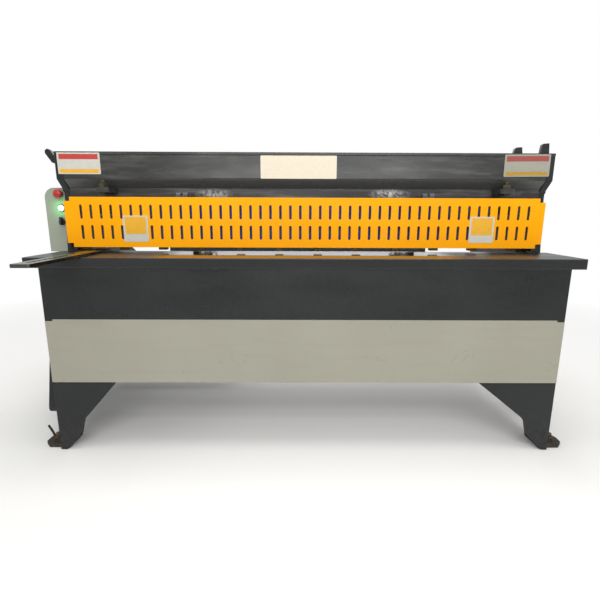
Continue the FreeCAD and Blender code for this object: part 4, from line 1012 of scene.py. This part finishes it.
def ram_fasteners():
    """Bolts of the ram: end plates, the blade's nuts along its slope, and the pull rods' pins."""
    bm = bmesh.new()
    carrier_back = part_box("blade_carrier")[1].y
    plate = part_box("right_ram_end")[1].x
    for side in SIDES:
        for number in range(6):
            hex_bolt(bm, (side * plate, carrier_back - 13.0 * MM, 0.890 + 0.058 * number),
                     (side, 0, 0), 12.0, 0.4 * number)
    # Thirteen blade bolts, parallel to the edge of the blade, which is 80 mm wide
    low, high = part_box("upper_blade")
    slope = (high.z - low.z - 80.0 * MM) / (high.x - low.x)
    for number in range(13):
        x = -0.930 + 0.155 * number
        z = low.z + 47.0 * MM + slope * (x - low.x)
        hex_bolt(bm, (x, carrier_back, z), BACK, 14.0, 0.5 * number)
    # Pin caps of the pull rods, each between two screws
    low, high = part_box("right_pull_rod")
    y, z = (low.y + high.y) / 2.0, high.z - 48.0 * MM
    for side in SIDES:
        turned(bm, [(22.0, 0.0), (22.0, 4.0), (20.0, 6.0), (7.0, 6.0), (6.0, 4.0)],
               (side * high.x, y, z), (side, 0, 0), 36)
        for way in SIDES:
            socket_screw(bm, (side * high.x, y + way * 34.0 * MM, z), (side, 0, 0), 10.0, 6.0)
    from_bmesh("ram_bolts", bm, BLACK_BOLT, "ram")


def ram_welds():
    """Fillet welds where the web plates meet the carrier and the top flange."""
    chance = random.Random(7)
    low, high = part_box("ram_ribs")
    webs, thick = 7, 14.0 * MM
    pitch = (high.x - low.x - thick) / (webs - 1)
    bm = bmesh.new()
    for number in range(webs):
        middle = low.x + thick / 2.0 + pitch * number
        for side in SIDES:
            x = middle + side * thick / 2.0
            weld_bead(bm, (x, low.y, low.z + 6.0 * MM), (x, low.y, high.z - 4.0 * MM), 6.0, chance)
            weld_bead(bm, (x, low.y + 6.0 * MM, high.z), (x, high.y - 5.0 * MM, high.z), 6.0, chance)
    from_bmesh("ram_rib_welds", bm, DARK, "ram", 60.0)


def frame_welds():
    """Fillet welds of the foot lugs, the rear channel and the motor shelf's gussets."""
    chance = random.Random(11)
    low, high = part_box("foot_lugs")
    rear_low, rear_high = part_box("rear_beam")
    shelf_low, shelf_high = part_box("motor_shelf")
    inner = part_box("bed_beam")[1].x
    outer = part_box("right_side_frame")[1].x
    gap, lug, gusset = 6.0 * MM, 79.0 * MM, 10.0 * MM
    bm = bmesh.new()
    for side in SIDES:
        for y0, y1 in ((low.y + gap, low.y + lug), (high.y - lug, high.y - gap)):
            weld_bead(bm, (side * outer, y0, high.z), (side * outer, y1, high.z), 7.0, chance)
        for z in (rear_low.z, rear_high.z):
            weld_bead(bm, (side * inner, rear_low.y + 3.0 * MM, z),
                      (side * inner, rear_high.y - 3.0 * MM, z), 7.0, chance)
    z0, z1 = shelf_low.z + 5.0 * MM, shelf_high.z - 12.0 * MM
    for y in (shelf_low.y, shelf_low.y + gusset, shelf_high.y - gusset, shelf_high.y):
        weld_bead(bm, (-inner, y, z0), (-inner, y, z1), 6.0, chance)
    from_bmesh("frame_welds", bm, DARK, "frame", 60.0)


def box_seam():
    """Seam between the switch box and its lid, following the rounded corners."""
    low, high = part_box("control_box")
    middle = (low + high) / 2.0
    left_corner, right_corner = 45.0 * MM, 18.0 * MM
    outline = [(low.x, low.z), (high.x, low.z)]
    outline += arc(high.x - right_corner, high.z - right_corner, right_corner, 0.0, 0.5, 8)
    outline += arc(low.x + left_corner, high.z - left_corner, left_corner, 0.5, 0.5, 8)
    front, back, sunk, proud = 30.0 * MM, 33.5 * MM, -1.0 * MM, 0.7 * MM
    loops = []
    for y, grow in ((front, sunk), (front, proud), (back, proud), (back, sunk)):
        loops.append([(x + (grow if x > middle.x else -grow), low.y + y,
                       z + (grow if z > middle.z else -grow)) for x, z in outline])
    bm = bmesh.new()
    skinned(bm, loops, ends=False)
    from_bmesh("switch_box_seam", bm, RING, "frame")


def small_fasteners():
    """Bolts and screws on the fixed frame."""
    bm = bmesh.new()
    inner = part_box("bed_beam")[1].x
    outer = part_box("right_side_frame")[1].x
    # Bearing flanges, seen from between the frames
    low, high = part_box("crank_bearings")
    flange = high.x - 40.0 * MM
    for side in SIDES:
        for y in (low.y + 16.0 * MM, high.y - 18.0 * MM):
            for z in (low.z + 18.0 * MM, high.z - 18.0 * MM):
                hex_bolt(bm, (side * flange, y, z), (-side, 0, 0), 14.0, 0.2)
    # Rear channel, bolted through the side frames' rear legs
    low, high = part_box("rear_beam")
    for side in SIDES:
        for z in (low.z + 50.0 * MM, high.z - 50.0 * MM):
            hex_bolt(bm, (side * outer, low.y + 35.0 * MM, z), (side, 0, 0), 16.0, 0.4)
    # Guide adjusting screws on the uprights' outer faces
    low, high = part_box("ram_guides")
    inset = 40.0 * MM
    for side in SIDES:
        for step in range(4):
            z = low.z + inset + step * (high.z - low.z - 2.0 * inset) / 3.0
            hex_bolt(bm, (side * outer, high.y + 60.0 * MM, z), (side, 0, 0), 10.0, 0.5 * step)
    # Table bolts into the bed's shoulder, from end to end
    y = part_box("bed_beam")[0].y + 40.0 * MM
    inset = 100.0 * MM
    for step in range(9):
        x = -inner + inset + step * 2.0 * (inner - inset) / 8.0
        hex_bolt(bm, (x, y, 0.70), BACK, 14.0, 0.3 * step)
    from_bmesh("frame_bolts", bm, BLACK_BOLT, "frame")


def arm_screws():
    """Countersunk socket screws that hold the squaring arm to the table's left-hand end."""
    low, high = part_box("squaring_arm")
    table_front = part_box("work_table")[0].y
    middle = (low.x + high.x) / 2.0
    head = [(7.5, -0.2), (7.5, 0.3), (6.8, 0.5), (4.2, 0.5), (4.0, 0.15), (0.0, 0.1)]
    bm = bmesh.new()
    for way in SIDES:
        for y in (table_front + 40.0 * MM, high.y - 30.0 * MM):
            turned(bm, head, (middle + way * 21.0 * MM, y, high.z), UP, 24)
    from_bmesh("arm_screws", bm, BLACK_BOLT, "frame")


def floor_anchors():
    """Anchor nuts and stud ends on the foot lugs."""
    lug_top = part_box("foot_lugs")[1].z
    bm = bmesh.new()
    for side in SIDES:
        for y in (-0.42, 0.42):
            x = side * 1.055
            washer(bm, (x, y, lug_top), UP, 36.0, 3.0)
            hex_head(bm, (x, y, lug_top + 3.0 * MM), UP, 30.0, 14.0, 0.4 + y)
            turned(bm, [(9.0, 0.0), (9.0, 12.0), (7.6, 14.0)], (x, y, lug_top + 15.0 * MM), UP, 16)
    from_bmesh("floor_anchor_nuts", bm, NUTS, "frame")


def leaning_pin():
    """Thin bent anchor pin that leans out of the front left lug."""
    bm = bmesh.new()
    path = ((-1.066, 0.018), (-1.073, 0.037), (-1.083, 0.060), (-1.093, 0.078))
    swept(bm, [(x, -0.420, z) for x, z in path], 4.5 * MM, 10)
    from_bmesh("leaning_anchor_pin", bm, BLACK_BOLT, "frame", 60.0)


def white_room():
    """White surroundings: a plain level of light, brighter in mirrors and pure white behind."""
    world = bpy.data.worlds.new("white_room")
    bpy.context.scene.world = world
    world.use_nodes = True
    tree = world.node_tree
    tree.nodes.clear()
    path = add(tree, "LightPath").outputs
    mirrored = add(tree, "Math", {0: path["Is Glossy Ray"], 1: path["Is Transmission Ray"]},
                   operation="MAXIMUM")
    strength = add(tree, "MapRange", {"Value": mirrored, "To Min": ROOM_LIGHT,
                                      "To Max": ROOM_MIRRORED})
    strength = add(tree, "MapRange", {"Value": path["Is Camera Ray"], "To Min": strength,
                                      "To Max": 1.0})
    sky = add(tree, "Background", {"Color": WHITE, "Strength": strength})
    add(tree, "OutputWorld", {"Surface": sky})


def studio_floor():
    """Pale matt floor that fades to white away from the machine."""
    material, tree, place = new_finish("pale_studio_floor")
    path = add(tree, "LightPath").outputs
    away = add(tree, "VectorMath", {0: place}, operation="LENGTH").outputs["Value"]
    distance = add(tree, "MapRange", {"Value": away, "From Min": 1.5, "From Max": 4.0})
    far = add(tree, "Math", {0: distance, 1: path["Is Camera Ray"]}, operation="MULTIPLY")
    speckle = add(tree, "TexNoise", {"Vector": place, "Scale": every(4), "Detail": 3.0})
    tone = add(tree, "Mix", {"Factor": speckle, "A": linear("EFEEEB"), "B": linear("F8F7F5")},
               data_type="RGBA")
    matt = add(tree, "BsdfDiffuse", {"Color": tone})
    white = add(tree, "Emission", {"Color": WHITE, "Strength": 1.0})
    add(tree, "OutputMaterial", {"Surface": add(tree, "MixShader", {0: far, 1: matt, 2: white})})
    bm = bmesh.new()
    bmesh.ops.create_grid(bm, x_segments=2, y_segments=2, size=FLOOR_SIZE / 2.0)
    mesh = bpy.data.meshes.new("studio_floor")
    bm.to_mesh(mesh)
    bm.free()
    mesh.materials.append(material)
    floor = placed("studio_floor", mesh)
    floor.location.z = -0.5 * MM


def lamps():
    """Softboxes over, before and behind the machine, and the lit start button's own glow."""
    front = button_form("start_button")[0]
    data = bpy.data.lights.new("start_lamp_glow", "POINT")
    data.color = (0.12, 1.0, 0.24)
    data.energy = GLOW_WATTS
    data.shadow_soft_size = 8.0 * MM
    glow = placed("start_lamp_glow", data)
    glow.location = front - Vector(BACK) * 13.0 * MM
    # The gloss mirrors the lens itself, so the lamp isn't mirrored too
    glow.visible_glossy = False
    glow.visible_camera = False
    for name, (place, aim, wide, high, watts) in SOFTBOXES.items():
        data = bpy.data.lights.new(name, "AREA")
        data.shape = "RECTANGLE"
        data.size, data.size_y = wide, high
        data.energy = watts
        softbox = placed(name, data)
        softbox.location = place
        softbox.rotation_euler = (Vector(aim) - Vector(place)).to_track_quat("-Z", "Y").to_euler()


def camera():
    """Camera at the photograph's place and angle."""
    data = bpy.data.cameras.new("photo_camera")
    data.lens = LENS
    data.sensor_width = SENSOR
    turn = (Matrix.Rotation(math.radians(CAMERA_TURN), 4, "Z")
            @ Matrix.Rotation(math.radians(90.0 - CAMERA_TILT_DOWN), 4, "X")
            @ Matrix.Rotation(math.radians(CAMERA_ROLL), 4, "Z"))
    eye = placed("photo_camera", data)
    eye.matrix_world = Matrix.Translation(CAMERA_PLACE) @ turn
    bpy.context.scene.camera = eye


guard_tray()
hanger_bolts()
holddown_stiffener()
hanger_springs()
switch_box_controls()
blank_plates()
right_leg_plate()
drive_cover_door()
crank_cover_lid()
motor_dress()
gauge_spindles()
ram_fasteners()
ram_welds()
frame_welds()
box_seam()
small_fasteners()
arm_screws()
floor_anchors()
leaning_pin()
white_room()
studio_floor()
lamps()
camera()
bpy.context.scene.view_settings.view_transform = "Standard"
